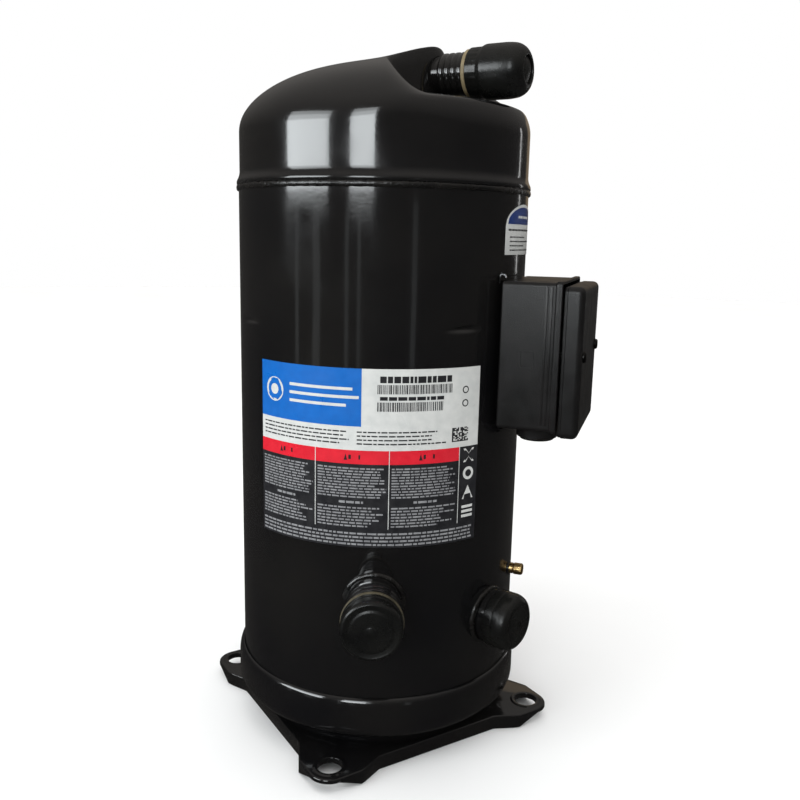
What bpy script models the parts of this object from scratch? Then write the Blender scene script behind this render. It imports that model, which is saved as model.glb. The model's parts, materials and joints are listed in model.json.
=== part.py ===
"""Hermetic scroll compressor, built as separate named pieces around the axis of its shell.

Frame: origin at the middle of the overall outline in the plane that the feet stand on, +Z up,
metres. The mounting square lies along X and Y. Bearings are angles about Z from +X, in degrees.
"""

import math

import bmesh
import bpy
from mathutils import Matrix, Vector

# ---------------------------------------------------------------- driving dimensions
GAP = 0.0003  # clearance between pieces that touch or are pressed together
SHELL_SEGMENTS = 64
SMALL_SEGMENTS = 24
INNER_SEGMENTS = 36

# shell
SHELL_R = 0.1161
SHELL_WALL = 0.0035
BORE_R = SHELL_R - SHELL_WALL
TUBE_BOTTOM_Z = 0.0450
TUBE_TOP_Z = 0.4500
COLLAR_R = 0.1205
COLLAR_TOP_Z = 0.0700

# mounting base
EAR_SPACING = 0.1905
EAR_HOLE_R = 0.0095
EAR_R = 0.0170
PLATE_TOP_Z = 0.0220
PLATE_T = 0.0038
SEAT_RISE = 0.0080
SEAT_R = 0.0940
FOOT_Z = 0.0100
SIDE_HALF = 0.1027
SIDE_STRAIGHT = 0.0560
FLARE_AT = 0.0765
FLANGE_T = 0.0034

# top cap
CAP_R = 0.1153
CAP_T = 0.0035
CAP_RIM_R = 0.1176
CAP_RIM_Z = 0.4531
CAP_RIM_T = 0.0040
CAP_WALL_TOP_Z = 0.4925
CAP_CROWN_Z = 0.5410
CAP_POWER = 2.15
FLANK_RISE = 0.0050
HUMP_RISE = 0.0175
POCKET_BEARING = -70.0
POCKET_HALF_ANGLE = 36.0
POCKET_SLOPE_ANGLE = 16.0
POCKET_BACK_R = 0.0475
POCKET_FLOOR_Z = 0.5150
CAP_COLUMNS = 60

# fittings: bearing about the axis and height
DISCHARGE_BEARING = -60.0
DISCHARGE_Z = 0.5375
SUCTION_BEARING = -121.7
SUCTION_Z = 0.1480
GLASS_BEARING = -70.0
GLASS_Z = 0.1200
VALVE_BEARING = -50.0
VALVE_Z = 0.1460

# terminal box
BOX_BEARING = -49.5
BOX_HALF_WIDTH = 0.0550
BOX_TOP_Z = 0.3870
BOX_BOTTOM_Z = 0.2750
BOX_BACK_R = 0.1180
BOX_RIM_R = 0.1550
BOX_FRONT_R = 0.1710
BOX_WALL = 0.0024
BOX_WING_R = 0.1105
COVER_INSET = 0.0022
COVER_LOW_Z = BOX_BOTTOM_Z - 0.0035
COVER_HIGH_Z = BOX_TOP_Z - 0.0035
COVER_SCREW_SIDE = 0.0440
CONDUIT_SIDE = -0.0260
CONDUIT_OUT = 0.1375
TERMINAL_Z = 0.3325
PIN_CIRCLE_R = 0.0085

# pump
ORBIT_R = 0.00535
BASE_CIRCLE_R = 0.0032
WRAP_T = 0.0043
WRAP_START = 3.70
WRAP_END = 22.6
WRAP_STEP = math.radians(12.0)
HOUSING_TOP_Z = 0.3720
ORBIT_PLATE_Z = HOUSING_TOP_Z + GAP
ORBIT_PLATE_T = 0.0120
WRAP_H = 0.0450
SCROLL_FLOOR_Z = ORBIT_PLATE_Z + ORBIT_PLATE_T
FIXED_PLATE_Z = SCROLL_FLOOR_Z + WRAP_H + GAP
FIXED_PLATE_T = 0.0150
FIXED_TOP_Z = FIXED_PLATE_Z + FIXED_PLATE_T
KEY_W = 0.0090
KEY_R = 0.0760

# motor
STATOR_R = BORE_R - GAP
STATOR_BORE_R = 0.0535
STATOR_BOTTOM_Z = 0.1700
STATOR_TOP_Z = 0.2800
ROTOR_R = 0.0528
SHAFT_R = 0.0160
PIN_R = 0.0105

OBJECT_NAME = "scroll_compressor"
# Every dimension above is measured from the shell's axis and from a datum 10 mm below the feet.
# The finished pieces are moved so that the origin is the middle of the overall outline, at the feet.
FRAME_SHIFT = (-0.0145, 0.0210, -FOOT_Z)


# ---------------------------------------------------------------- tools
def clear_scene():
    for old in list(bpy.data.objects):
        bpy.data.objects.remove(old, do_unlink=True)


def make_collection(name):
    made = bpy.data.collections.new(name)
    bpy.context.scene.collection.children.link(made)
    return made


def material(name, colour, metallic, roughness):
    made = bpy.data.materials.get(name)
    if made is None:
        made = bpy.data.materials.new(name)
        made.use_nodes = True
        shader = made.node_tree.nodes["Principled BSDF"]
        shader.inputs["Base Color"].default_value = (*colour, 1.0)
        shader.inputs["Metallic"].default_value = metallic
        shader.inputs["Roughness"].default_value = roughness
        made.diffuse_color = (*colour, 1.0)
    return made


def black_paint():
    return material("black_paint", (0.012, 0.012, 0.013), 0.0, 0.18)


def black_plastic():
    return material("black_plastic", (0.03, 0.03, 0.032), 0.0, 0.45)


def cast_iron():
    return material("cast_iron", (0.22, 0.21, 0.20), 0.9, 0.5)


def steel():
    return material("steel", (0.45, 0.45, 0.46), 1.0, 0.35)


def brass():
    return material("brass", (0.72, 0.50, 0.20), 1.0, 0.3)


def pale_seal():
    return material("pale_seal", (0.72, 0.62, 0.36), 0.0, 0.5)


def laminations():
    return material("laminations", (0.30, 0.30, 0.32), 0.9, 0.45)


def keep(obj, finish):
    """Puts a finished piece in the object's collection with its material."""
    for collection in list(obj.users_collection):
        collection.objects.unlink(obj)
    bpy.data.collections[OBJECT_NAME].objects.link(obj)
    obj.data.materials.clear()
    obj.data.materials.append(finish)
    return obj


def as_cutter(obj):
    for collection in list(obj.users_collection):
        collection.objects.unlink(obj)
    bpy.data.collections["cutters"].objects.link(obj)
    obj.hide_render = True
    obj.display_type = "WIRE"
    return obj


def new_object(name, mesh):
    made = bpy.data.objects.new(name, mesh)
    bpy.context.scene.collection.objects.link(made)
    return made


def mesh_from(name, bm, smooth=True):
    bmesh.ops.recalc_face_normals(bm, faces=bm.faces)
    mesh = bpy.data.meshes.new(name)
    bm.to_mesh(mesh)
    bm.free()
    if smooth:
        mesh.shade_smooth()
        mesh.set_sharp_from_angle(angle=math.radians(35))
    return mesh


def outward(bearing):
    angle = math.radians(bearing)
    return Vector((math.cos(angle), math.sin(angle), 0.0))


def polar(radius, bearing, z=0.0):
    return outward(bearing) * radius + Vector((0.0, 0.0, z))


def aim(obj, bearing, z, radius=0.0):
    """Turns a piece built along +Z so that it points out at a bearing, at height z."""
    lie_down = Matrix.Rotation(math.radians(90), 4, "Y")
    turn = Matrix.Rotation(math.radians(bearing), 4, "Z")
    obj.matrix_world = Matrix.Translation(polar(radius, bearing, z)) @ turn @ lie_down
    return obj


def area_of(points):
    total = 0.0
    for (r0, z0), (r1, z1) in zip(points, points[1:] + points[:1]):
        total += r0 * z1 - r1 * z0
    return total / 2


def turned(name, profile, segments=SMALL_SEGMENTS, centre=(0.0, 0.0)):
    """A solid of revolution about a vertical line, from its (radius, height) outline."""
    profile = list(profile)
    if area_of(profile) > 0:
        profile.reverse()
    bm = bmesh.new()
    points = [bm.verts.new((r, 0.0, z)) for r, z in profile]
    on_axis = [i for i, (r, z) in enumerate(profile) if r < 1e-7]
    for i in range(len(points)):
        j = (i + 1) % len(points)
        if not (i in on_axis and j in on_axis):
            bm.edges.new((points[i], points[j]))
    mesh = bpy.data.meshes.new(name)
    bm.to_mesh(mesh)
    bm.free()
    obj = new_object(name, mesh)
    screw = obj.modifiers.new("turn", "SCREW")
    screw.axis = "Z"
    screw.steps = segments
    screw.render_steps = segments
    screw.use_merge_vertices = True
    screw.merge_threshold = 0.00001
    screw.use_smooth_shade = True
    obj.location = (centre[0], centre[1], 0.0)
    return obj


def ring(name, inner_r, outer_r, low_z, high_z, segments=SMALL_SEGMENTS, centre=(0.0, 0.0)):
    outline = [(inner_r, low_z), (outer_r, low_z), (outer_r, high_z), (inner_r, high_z)]
    return turned(name, outline, segments, centre)


def rod(name, radius, low_z, high_z, segments=SMALL_SEGMENTS, centre=(0.0, 0.0)):
    bm = bmesh.new()
    bmesh.ops.create_cone(
        bm,
        cap_ends=True,
        segments=segments,
        radius1=radius,
        radius2=radius,
        depth=high_z - low_z,
        matrix=Matrix.Translation((0.0, 0.0, (low_z + high_z) / 2)),
    )
    obj = new_object(name, mesh_from(name, bm))
    obj.location = (centre[0], centre[1], 0.0)
    return obj


def block(name, size, centre, turn=0.0):
    bm = bmesh.new()
    bmesh.ops.create_cube(bm, size=1.0, matrix=Matrix.Diagonal((*size, 1.0)))
    obj = new_object(name, mesh_from(name, bm, smooth=False))
    obj.matrix_world = Matrix.Translation(centre) @ Matrix.Rotation(math.radians(turn), 4, "Z")
    return obj


def slab(name, outlines, low_z, high_z):
    """A flat plate from closed outlines in X and Y: the first is its edge, the others holes."""
    curve = bpy.data.curves.new(name, "CURVE")
    curve.dimensions = "2D"
    curve.fill_mode = "BOTH"
    curve.extrude = (high_z - low_z) / 2
    for outline in outlines:
        spline = curve.splines.new("POLY")
        spline.points.add(len(outline) - 1)
        for point, (x, y) in zip(spline.points, outline):
            point.co = (x, y, 0.0, 1.0)
        spline.use_cyclic_u = True
    made = new_object(name, curve)
    made.location = (0.0, 0.0, (low_z + high_z) / 2)
    return to_mesh(made)


def to_mesh(curve_object):
    """The solid mesh of a curve object, with its caps welded."""
    bpy.context.view_layer.update()
    graph = bpy.context.evaluated_depsgraph_get()
    name = curve_object.name
    mesh = bpy.data.meshes.new_from_object(curve_object.evaluated_get(graph))
    bm = bmesh.new()
    bm.from_mesh(mesh)
    bmesh.ops.remove_doubles(bm, verts=bm.verts, dist=0.000001)
    bmesh.ops.recalc_face_normals(bm, faces=bm.faces)
    bm.to_mesh(mesh)
    bm.free()
    made = bpy.data.objects.new(name + "_mesh", mesh)
    bpy.context.scene.collection.objects.link(made)
    made.matrix_world = curve_object.matrix_world
    bpy.data.objects.remove(curve_object, do_unlink=True)
    made.name = name
    return made


def arc(centre, radius, start, end, steps):
    """Points on an arc, from one bearing to another."""
    turns = [start + (end - start) * i / steps for i in range(steps + 1)]
    return [
        (
            centre[0] + radius * math.cos(math.radians(a)),
            centre[1] + radius * math.sin(math.radians(a)),
        )
        for a in turns
    ]


def circle(centre, radius, steps=SMALL_SEGMENTS):
    return arc(centre, radius, 0.0, 360.0, steps)[:-1]


def boolean(obj, other, operation, name):
    change = obj.modifiers.new(name, "BOOLEAN")
    change.operation = operation
    change.object = as_cutter(other)
    return obj


def cut(obj, *cutters):
    for cutter in cutters:
        boolean(obj, cutter, "DIFFERENCE", "cut_" + cutter.name)
    return obj


def join(obj, *pieces):
    for piece in pieces:
        boolean(obj, piece, "UNION", "join_" + piece.name)
    return obj


def bevel(obj, width, segments=2, angle=40.0):
    change = obj.modifiers.new("soft_edges", "BEVEL")
    change.width = width
    change.segments = segments
    change.limit_method = "ANGLE"
    change.angle_limit = math.radians(angle)
    return obj


# ---------------------------------------------------------------- shell
def make_center_shell():
    tube = ring("center_shell", BORE_R, SHELL_R, TUBE_BOTTOM_Z, TUBE_TOP_Z, SHELL_SEGMENTS)
    holes = (
        ("suction_hole", SUCTION_BEARING, SUCTION_Z, 0.0203),
        ("glass_hole", GLASS_BEARING, GLASS_Z, 0.0193),
        ("valve_hole", VALVE_BEARING, VALVE_Z, 0.0048),
        ("terminal_hole", BOX_BEARING, TERMINAL_Z, 0.0213),
    )
    for name, bearing, z, radius in holes:
        cut(tube, aim(rod(name, radius, 0.100, 0.130, 20), bearing, z))
    return keep(tube, black_paint())


def cap_wall_top(bearing):
    """Height where the top cap's wall turns into its shoulder: it climbs beside the pocket."""
    away = abs((bearing - POCKET_BEARING + 180.0) % 360.0 - 180.0)
    return CAP_WALL_TOP_Z + FLANK_RISE * math.exp(-(((away - 43.0) / 17.0) ** 2))


def cap_crown(radius, bearing):
    """Height of the top cap without its pocket."""
    wall = cap_wall_top(bearing)
    share = min(radius / CAP_R, 1.0)
    x = radius * math.cos(math.radians(bearing))
    y = radius * math.sin(math.radians(bearing))
    lean = outward(-110.0)
    height = wall + (CAP_CROWN_Z - wall) * (1.0 - share**CAP_POWER) ** (1.0 / CAP_POWER)
    height += 0.10 * (x * lean.x + y * lean.y) * (1.0 - share**6)
    along = outward(-58.0)
    forward = x * along.x + y * along.y - 0.050
    across = -x * along.y + y * along.x
    hump = math.exp(-((forward / 0.048) ** 2) - (across / 0.040) ** 2)
    return height + HUMP_RISE * hump * (1.0 - share**8)


def smooth_step(value, low, high):
    share = min(max((value - low) / (high - low), 0.0), 1.0)
    return share * share * (3.0 - 2.0 * share)


def cap_height(radius, bearing):
    """Height of the top cap's outer face: the crown, with the pocket for the discharge fitting."""
    crown = cap_crown(radius, bearing)
    away = abs((bearing - POCKET_BEARING + 180.0) % 360.0 - 180.0)
    inside = 1.0 - smooth_step(away, POCKET_HALF_ANGLE - 3.0, POCKET_HALF_ANGLE + POCKET_SLOPE_ANGLE)
    inside *= smooth_step(radius, POCKET_BACK_R - 0.001, POCKET_BACK_R + 0.003)
    if inside <= 0.0:
        return crown
    share = min(radius / CAP_R, 1.0)
    floor = POCKET_FLOOR_Z - 0.010 * (1.0 - (1.0 - share**10) ** 0.5)
    return crown + (min(crown, floor) - crown) * inside


def cap_ring_radii():
    inner = [0.012, 0.026, 0.038, POCKET_BACK_R - 0.0015, POCKET_BACK_R + 0.0035, 0.065]
    outer = [CAP_R * math.sin(math.radians(a)) for a in (47, 59, 68, 75, 81, 86)]
    return inner + outer


def make_top_cap():
    bearings = [360.0 * i / CAP_COLUMNS for i in range(CAP_COLUMNS)]
    radii = cap_ring_radii()
    rings = [[polar(r, b, cap_height(r, b)) for b in bearings] for r in radii]
    rings.append([polar(CAP_R, b, cap_wall_top(b)) for b in bearings])
    wall = CAP_R - CAP_T
    rim = (
        (CAP_R, CAP_RIM_Z + CAP_RIM_T),
        (CAP_RIM_R, CAP_RIM_Z + CAP_RIM_T - 0.0006),
        (CAP_RIM_R, CAP_RIM_Z),
        (wall, CAP_RIM_Z),
    )
    for r, z in rim:
        rings.append([polar(r, b, z) for b in bearings])
    rings.append([polar(wall, b, cap_wall_top(b) - CAP_T) for b in bearings])
    for r in radii[-2::-2]:
        inner_r = max(r - CAP_T, 0.6 * r)
        rings.append([polar(inner_r, b, cap_height(r, b) - CAP_T) for b in bearings])
    bm = bmesh.new()
    top = bm.verts.new((0.0, 0.0, cap_height(0.0, 0.0)))
    under = bm.verts.new((0.0, 0.0, cap_height(0.0, 0.0) - CAP_T))
    loops = [[bm.verts.new(point) for point in points] for points in rings]
    count = CAP_COLUMNS
    for i in range(count):
        j = (i + 1) % count
        bm.faces.new((top, loops[0][i], loops[0][j]))
        bm.faces.new((under, loops[-1][j], loops[-1][i]))
        for upper, lower in zip(loops, loops[1:]):
            bm.faces.new((upper[i], lower[i], lower[j], upper[j]))
    cap = new_object("top_cap", mesh_from("top_cap", bm))
    cut(cap, aim(rod("discharge_hole", 0.0143, 0.030, 0.060, 20), DISCHARGE_BEARING, DISCHARGE_Z))
    return keep(cap, black_paint())


def make_separator_plate():
    """The dished plate, welded between tube and cap, that parts suction from discharge."""
    flange_z = TUBE_TOP_Z + GAP
    thick = CAP_RIM_Z - GAP - flange_z
    profile = [
        (0.0190, 0.4600),
        (0.0560, 0.4600),
        (0.1000, flange_z),
        (0.1168, flange_z),
        (0.1168, flange_z + thick),
        (0.1005, flange_z + thick),
        (0.0565, 0.4636),
        (0.0190, 0.4636),
    ]
    plate = turned("separator_plate", profile, SHELL_SEGMENTS)
    cut(plate, rod("relief_hole", 0.0073, 0.440, 0.480, 16, tuple(polar(0.0800, 150.0).xy)))
    return keep(plate, steel())


def make_bottom_cap():
    """The drawn cup that closes the shell: its collar sleeves over the tube."""
    under_z = PLATE_TOP_Z + SEAT_RISE + GAP
    floor_z = under_z + 0.0045
    corner_r = COLLAR_R - 0.0950
    corner_top_z = 0.0460
    profile = [(0.0, under_z)]
    for turn in (90.0, 67.5, 45.0, 22.5, 0.0):
        angle = math.radians(turn)
        r = COLLAR_R - corner_r + corner_r * math.cos(angle)
        profile.append((r, corner_top_z - (corner_top_z - under_z) * math.sin(angle)))
    profile += [
        (COLLAR_R, COLLAR_TOP_Z - 0.0030),
        (SHELL_R + 0.0012, COLLAR_TOP_Z),
        (SHELL_R + GAP, COLLAR_TOP_Z),
        (SHELL_R + GAP, TUBE_BOTTOM_Z - GAP),
        (BORE_R, TUBE_BOTTOM_Z - 0.0010),
        (0.1070, 0.0382),
        (0.0940, floor_z),
        (0.0, floor_z),
    ]
    return keep(turned("bottom_cap", profile, SHELL_SEGMENTS), black_paint())


def plate_outline(inset):
    """The base plate seen from above: straight sides that flare out to an ear at each corner."""
    half = EAR_SPACING / 2
    side = SIDE_HALF - inset
    edge = half + EAR_R - inset
    points = []
    for turn in (0, 90, 180, 270):
        quarter = Matrix.Rotation(math.radians(turn), 2)
        corner = [(side, SIDE_STRAIGHT - 0.4 * inset), (edge, FLARE_AT - 0.4 * inset)]
        corner += arc((half, half), EAR_R - inset, 0.0, 90.0, 6)
        corner += [(FLARE_AT - 0.4 * inset, edge), (SIDE_STRAIGHT - 0.4 * inset, side)]
        points += [tuple(quarter @ Vector(point)) for point in corner]
    return points


def corner_relief(name, turn):
    """The wedge that frees the underside of one ear and slants the ends of its two flanges."""
    low, high = FOOT_Z - 0.0015, PLATE_TOP_Z - PLATE_T + 0.0002
    near_low, near_high, far = FLARE_AT - 0.0010, FLARE_AT + 0.0110, 0.1250
    bm = bmesh.new()
    bottom = [(near_low, near_low), (far, near_low), (far, far), (near_low, far)]
    top = [(near_high, near_high), (far, near_high), (far, far), (near_high, far)]
    lower = [bm.verts.new((x, y, low)) for x, y in bottom]
    upper = [bm.verts.new((x, y, high)) for x, y in top]
    bm.faces.new(lower[::-1])
    bm.faces.new(upper)
    for i in range(4):
        j = (i + 1) % 4
        bm.faces.new((lower[i], lower[j], upper[j], upper[i]))
    wedge = new_object(name, mesh_from(name, bm, smooth=False))
    wedge.matrix_world = Matrix.Rotation(math.radians(turn), 4, "Z")
    return wedge


def make_base_plate():
    """A pressed plate: raised seat in the middle, turned-down sides, an ear at each corner."""
    half = EAR_SPACING / 2
    under_z = PLATE_TOP_Z - PLATE_T
    plate = slab("base_plate", [plate_outline(0.0)], FOOT_Z, PLATE_TOP_Z)
    seat_top = PLATE_TOP_Z + SEAT_RISE
    rise = [
        (0.0, PLATE_TOP_Z - 0.0010),
        (SEAT_R + 0.0052, PLATE_TOP_Z - 0.0010),
        (SEAT_R, seat_top),
        (0.0, seat_top),
    ]
    join(plate, turned("seat_rise", rise, 48))
    cut(plate, slab("underside", [plate_outline(FLANGE_T)], FOOT_Z - 0.0010, under_z))
    hollow = [
        (0.0, under_z - 0.0020),
        (SEAT_R + 0.0020, under_z - 0.0020),
        (SEAT_R - 0.0022, seat_top - PLATE_T),
        (0.0, seat_top - PLATE_T),
    ]
    cut(plate, turned("seat_hollow", hollow, 48))
    for index, turn in enumerate((0, 90, 180, 270)):
        cut(plate, corner_relief(f"corner_relief_{index}", turn))
        spin = Matrix.Rotation(math.radians(turn), 2)
        centre = tuple(spin @ Vector((half, half)))
        cut(plate, rod(f"ear_hole_{index}", EAR_HOLE_R, 0.0, 0.040, 20, centre))
    return keep(plate, black_paint())


# ---------------------------------------------------------------- outside fittings
def threaded_stub(name, bearing, z, bore_r, stations):
    """A stub brazed into a wall, as a bored body turned from (radius, distance out) stations."""
    profile = [(bore_r, stations[0][1]), *stations, (bore_r, stations[-1][1])]
    return aim(turned(name, profile), bearing, z)


def screw_cap(name, bearing, z, start, end, outer_r, thread_r, cavity_end, pip):
    """A round protective cap over a stub's thread, with a chamfered rim and a small centre pip."""
    profile = [
        (thread_r, start),
        (outer_r, start),
        (outer_r, end - 0.0045),
        (outer_r - 0.0010, end - 0.0018),
        (outer_r - 0.0040, end),
        (0.0045, end),
        (0.0026, end + pip),
        (0.0, end + pip),
        (0.0, cavity_end),
        (thread_r, cavity_end),
    ]
    return aim(turned(name, profile), bearing, z)


def make_discharge_fitting():
    profile = [
        (0.0110, 0.0385),
        (0.0140, 0.0385),
        (0.0140, 0.0515),
        (0.0157, 0.0515),
        (0.0157, 0.0945),
        (0.0142, 0.0960),
        (0.0110, 0.0960),
    ]
    stub = aim(turned("discharge_stub", profile), DISCHARGE_BEARING, DISCHARGE_Z)
    keep(stub, black_paint())
    seal = ring("discharge_seal_ring", 0.0160, 0.0174, 0.0722, 0.0752)
    keep(aim(seal, DISCHARGE_BEARING, DISCHARGE_Z), pale_seal())
    profile = [
        (0.0161, 0.0755),
        (0.0182, 0.0755),
        (0.0184, 0.0850),
        (0.0197, 0.0875),
        (0.0198, 0.1050),
        (0.0188, 0.1125),
        (0.0155, 0.1175),
        (0.0095, 0.1202),
        (0.0, 0.1208),
        (0.0, 0.0990),
        (0.0161, 0.0990),
    ]
    cap = aim(turned("discharge_cap", profile), DISCHARGE_BEARING, DISCHARGE_Z)
    keep(cap, black_plastic())


def make_suction_fitting():
    stations = (
        (0.0199, 0.1080),
        (0.0199, 0.1190),
        (0.0215, 0.1190),
        (0.0215, 0.1477),
        (0.0204, 0.1477),
        (0.0204, 0.1575),
        (0.0190, 0.1590),
    )
    stub = threaded_stub("suction_stub", SUCTION_BEARING, SUCTION_Z, 0.0165, stations)
    keep(stub, black_paint())
    seal = ring("suction_seal_ring", 0.0207, 0.0229, 0.1480, 0.1508)
    keep(aim(seal, SUCTION_BEARING, SUCTION_Z), pale_seal())
    cap = screw_cap(
        "suction_cap", SUCTION_BEARING, SUCTION_Z, 0.1511, 0.1655, 0.0224, 0.0207, 0.1620, 0.0010
    )
    keep(cap, black_plastic())


def make_sight_glass():
    stations = (
        (0.0189, 0.1080),
        (0.0189, 0.1180),
        (0.0212, 0.1180),
        (0.0212, 0.1235),
        (0.0200, 0.1235),
        (0.0200, 0.1310),
        (0.0190, 0.1320),
    )
    body = threaded_stub("sight_glass_body", GLASS_BEARING, GLASS_Z, 0.0140, stations)
    keep(body, black_paint())
    lens = aim(rod("sight_glass_lens", 0.0137, 0.1200, 0.1270), GLASS_BEARING, GLASS_Z)
    keep(lens, material("sight_glass", (0.75, 0.85, 0.85), 0.0, 0.05))
    cap = screw_cap(
        "sight_glass_cap", GLASS_BEARING, GLASS_Z, 0.1238, 0.1440, 0.0226, 0.0203, 0.1350, 0.0006
    )
    keep(cap, black_plastic())


def make_access_valve():
    profile = [
        (0.0, 0.1100),
        (0.0045, 0.1100),
        (0.0045, 0.1205),
        (0.0034, 0.1205),
        (0.0034, 0.1262),
        (0.0, 0.1262),
    ]
    keep(aim(turned("access_valve", profile, 16), VALVE_BEARING, VALVE_Z), brass())
    cover = [
        (0.0037, 0.1208),
        (0.0048, 0.1208),
        (0.0048, 0.1272),
        (0.0036, 0.1284),
        (0.0, 0.1284),
        (0.0, 0.1265),
        (0.0037, 0.1265),
    ]
    keep(aim(turned("access_valve_cap", cover, 16), VALVE_BEARING, VALVE_Z), brass())


def curved_label(name, first, last, low_z, high_z, finish):
    """A thin skin on the shell between two bearings."""
    steps = max(int((last - first) / 4), 6)
    base_r = SHELL_R + GAP
    face = arc((0.0, 0.0), base_r + 0.0004, first, last, steps)
    back = arc((0.0, 0.0), base_r, last, first, steps)
    return keep(slab(name, [face + back], low_z, high_z), finish)


def make_labels():
    white = material("label_stock", (0.80, 0.80, 0.80), 0.0, 0.4)
    curved_label("rating_label", -170.5, -81.5, 0.1910, 0.3240, white)
    curved_label("side_label", -70.0, -36.0, 0.4045, 0.4420, white)


# ---------------------------------------------------------------- terminal box
def box_block(name, low_r, high_r, half_width, low_z, high_z, shift=0.0):
    """A block that stands out from the shell at the box's bearing."""
    side = outward(BOX_BEARING + 90.0)
    centre = polar((low_r + high_r) / 2, BOX_BEARING, (low_z + high_z) / 2) + side * shift
    return block(name, (high_r - low_r, 2 * half_width, high_z - low_z), centre, BOX_BEARING)


def aim_at_box(obj, z, shift=0.0):
    """Turns a piece built along +Z so that it points out of the box, beside its middle line."""
    aim(obj, BOX_BEARING, z)
    obj.matrix_world = Matrix.Translation(outward(BOX_BEARING + 90.0) * shift) @ obj.matrix_world
    return obj


def conduit_centre():
    centre = polar(CONDUIT_OUT, BOX_BEARING) + outward(BOX_BEARING + 90.0) * CONDUIT_SIDE
    return tuple(centre.xy)


def make_box_base():
    wall = BOX_WALL
    half = BOX_HALF_WIDTH
    base = box_block("terminal_box_base", BOX_BACK_R, BOX_RIM_R, half, BOX_BOTTOM_Z, BOX_TOP_Z)
    wings = box_block("box_wings", BOX_WING_R, BOX_BACK_R + 0.001, half, BOX_BOTTOM_Z, BOX_TOP_Z)
    centre = conduit_centre()
    boss_z = BOX_BOTTOM_Z - 0.0080
    join(base, wings, rod("conduit_boss", 0.0158, boss_z, BOX_BOTTOM_Z + 0.0010, SMALL_SEGMENTS, centre))
    hollow = box_block(
        "box_hollow",
        BOX_BACK_R + wall,
        BOX_RIM_R + 0.01,
        half - wall,
        BOX_BOTTOM_Z + wall,
        BOX_TOP_Z - wall,
    )
    saddle = rod("box_saddle", SHELL_R + 2 * GAP, 0.25, 0.40, SHELL_SEGMENTS)
    opening = aim(rod("box_terminal_opening", 0.0240, 0.105, 0.125, 20), BOX_BEARING, TERMINAL_Z)
    inlet = rod("conduit_inlet", 0.0112, boss_z - 0.01, BOX_BOTTOM_Z + 0.02, SMALL_SEGMENTS, centre)
    cut(base, hollow, saddle, opening, inlet)
    return keep(base, black_plastic())


def make_box_cover():
    wall = BOX_WALL
    half = BOX_HALF_WIDTH - COVER_INSET
    low, high = COVER_LOW_Z, COVER_HIGH_Z
    cover = box_block("terminal_box_cover", BOX_RIM_R + GAP, BOX_FRONT_R, half, low, high)
    bevel(cover, 0.0045, 2, 60.0)
    cut(
        cover,
        box_block(
            "cover_hollow", BOX_RIM_R - 0.01, BOX_FRONT_R - wall, half - wall, low + wall, high - wall
        ),
    )
    profile = [
        (0.0, 0.1540),
        (0.0020, 0.1540),
        (0.0020, BOX_FRONT_R + GAP),
        (0.0042, BOX_FRONT_R + GAP),
        (0.0038, BOX_FRONT_R + 0.0022),
        (0.0, BOX_FRONT_R + 0.0022),
    ]
    for index, side in ((1, -COVER_SCREW_SIDE), (2, COVER_SCREW_SIDE)):
        cut(cover, aim_at_box(rod(f"screw_seat_{index}", 0.0024, 0.150, 0.180, 16), TERMINAL_Z, side))
        screw = aim_at_box(turned(f"cover_screw_{index}", profile, 16), TERMINAL_Z, side)
        keep(screw, steel())
    return keep(cover, black_plastic())


def make_conduit_plug():
    profile = [
        (0.0, BOX_BOTTOM_Z - 0.0100),
        (0.0130, BOX_BOTTOM_Z - 0.0100),
        (0.0130, BOX_BOTTOM_Z - 0.0083),
        (0.0109, BOX_BOTTOM_Z - 0.0083),
        (0.0109, BOX_BOTTOM_Z + 0.0010),
        (0.0, BOX_BOTTOM_Z + 0.0010),
    ]
    return keep(turned("conduit_plug", profile, SMALL_SEGMENTS, conduit_centre()), black_plastic())


def pin_places():
    """Sideways place and height of the three terminal pins."""
    turns = [math.radians(90.0 + 120.0 * index) for index in range(3)]
    return [(PIN_CIRCLE_R * math.cos(t), TERMINAL_Z + PIN_CIRCLE_R * math.sin(t)) for t in turns]


def make_terminals():
    cup = [
        (0.0, 0.1128),
        (0.0175, 0.1128),
        (0.0175, 0.1090),
        (0.0209, 0.1090),
        (0.0209, 0.1150),
        (0.0, 0.1150),
    ]
    body = aim(turned("hermetic_terminal", cup, SMALL_SEGMENTS), BOX_BEARING, TERMINAL_Z)
    low, high = TERMINAL_Z - 0.0180, TERMINAL_Z + 0.0180
    carrier = box_block("terminal_block", 0.1215, 0.1360, 0.0210, low, high)
    for index, (side, z) in enumerate(pin_places()):
        join(body, aim_at_box(rod(f"terminal_pin_{index}", 0.0016, 0.1010, 0.1330, 12), z, side))
        cut(carrier, aim_at_box(rod(f"pin_hole_{index}", 0.0022, 0.100, 0.150, 12), z, side))
    keep(body, steel())
    keep(carrier, material("terminal_block_plastic", (0.55, 0.52, 0.45), 0.0, 0.5))

    profile = [
        (0.0, 0.1206),
        (0.0022, 0.1206),
        (0.0022, 0.1250),
        (0.0045, 0.1250),
        (0.0045, 0.1280),
        (0.0, 0.1280),
    ]
    screw = aim_at_box(turned("earth_screw", profile, 16), BOX_BOTTOM_Z + 0.0150, 0.0380)
    keep(screw, material("green_screw", (0.10, 0.35, 0.14), 0.6, 0.4))


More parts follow.
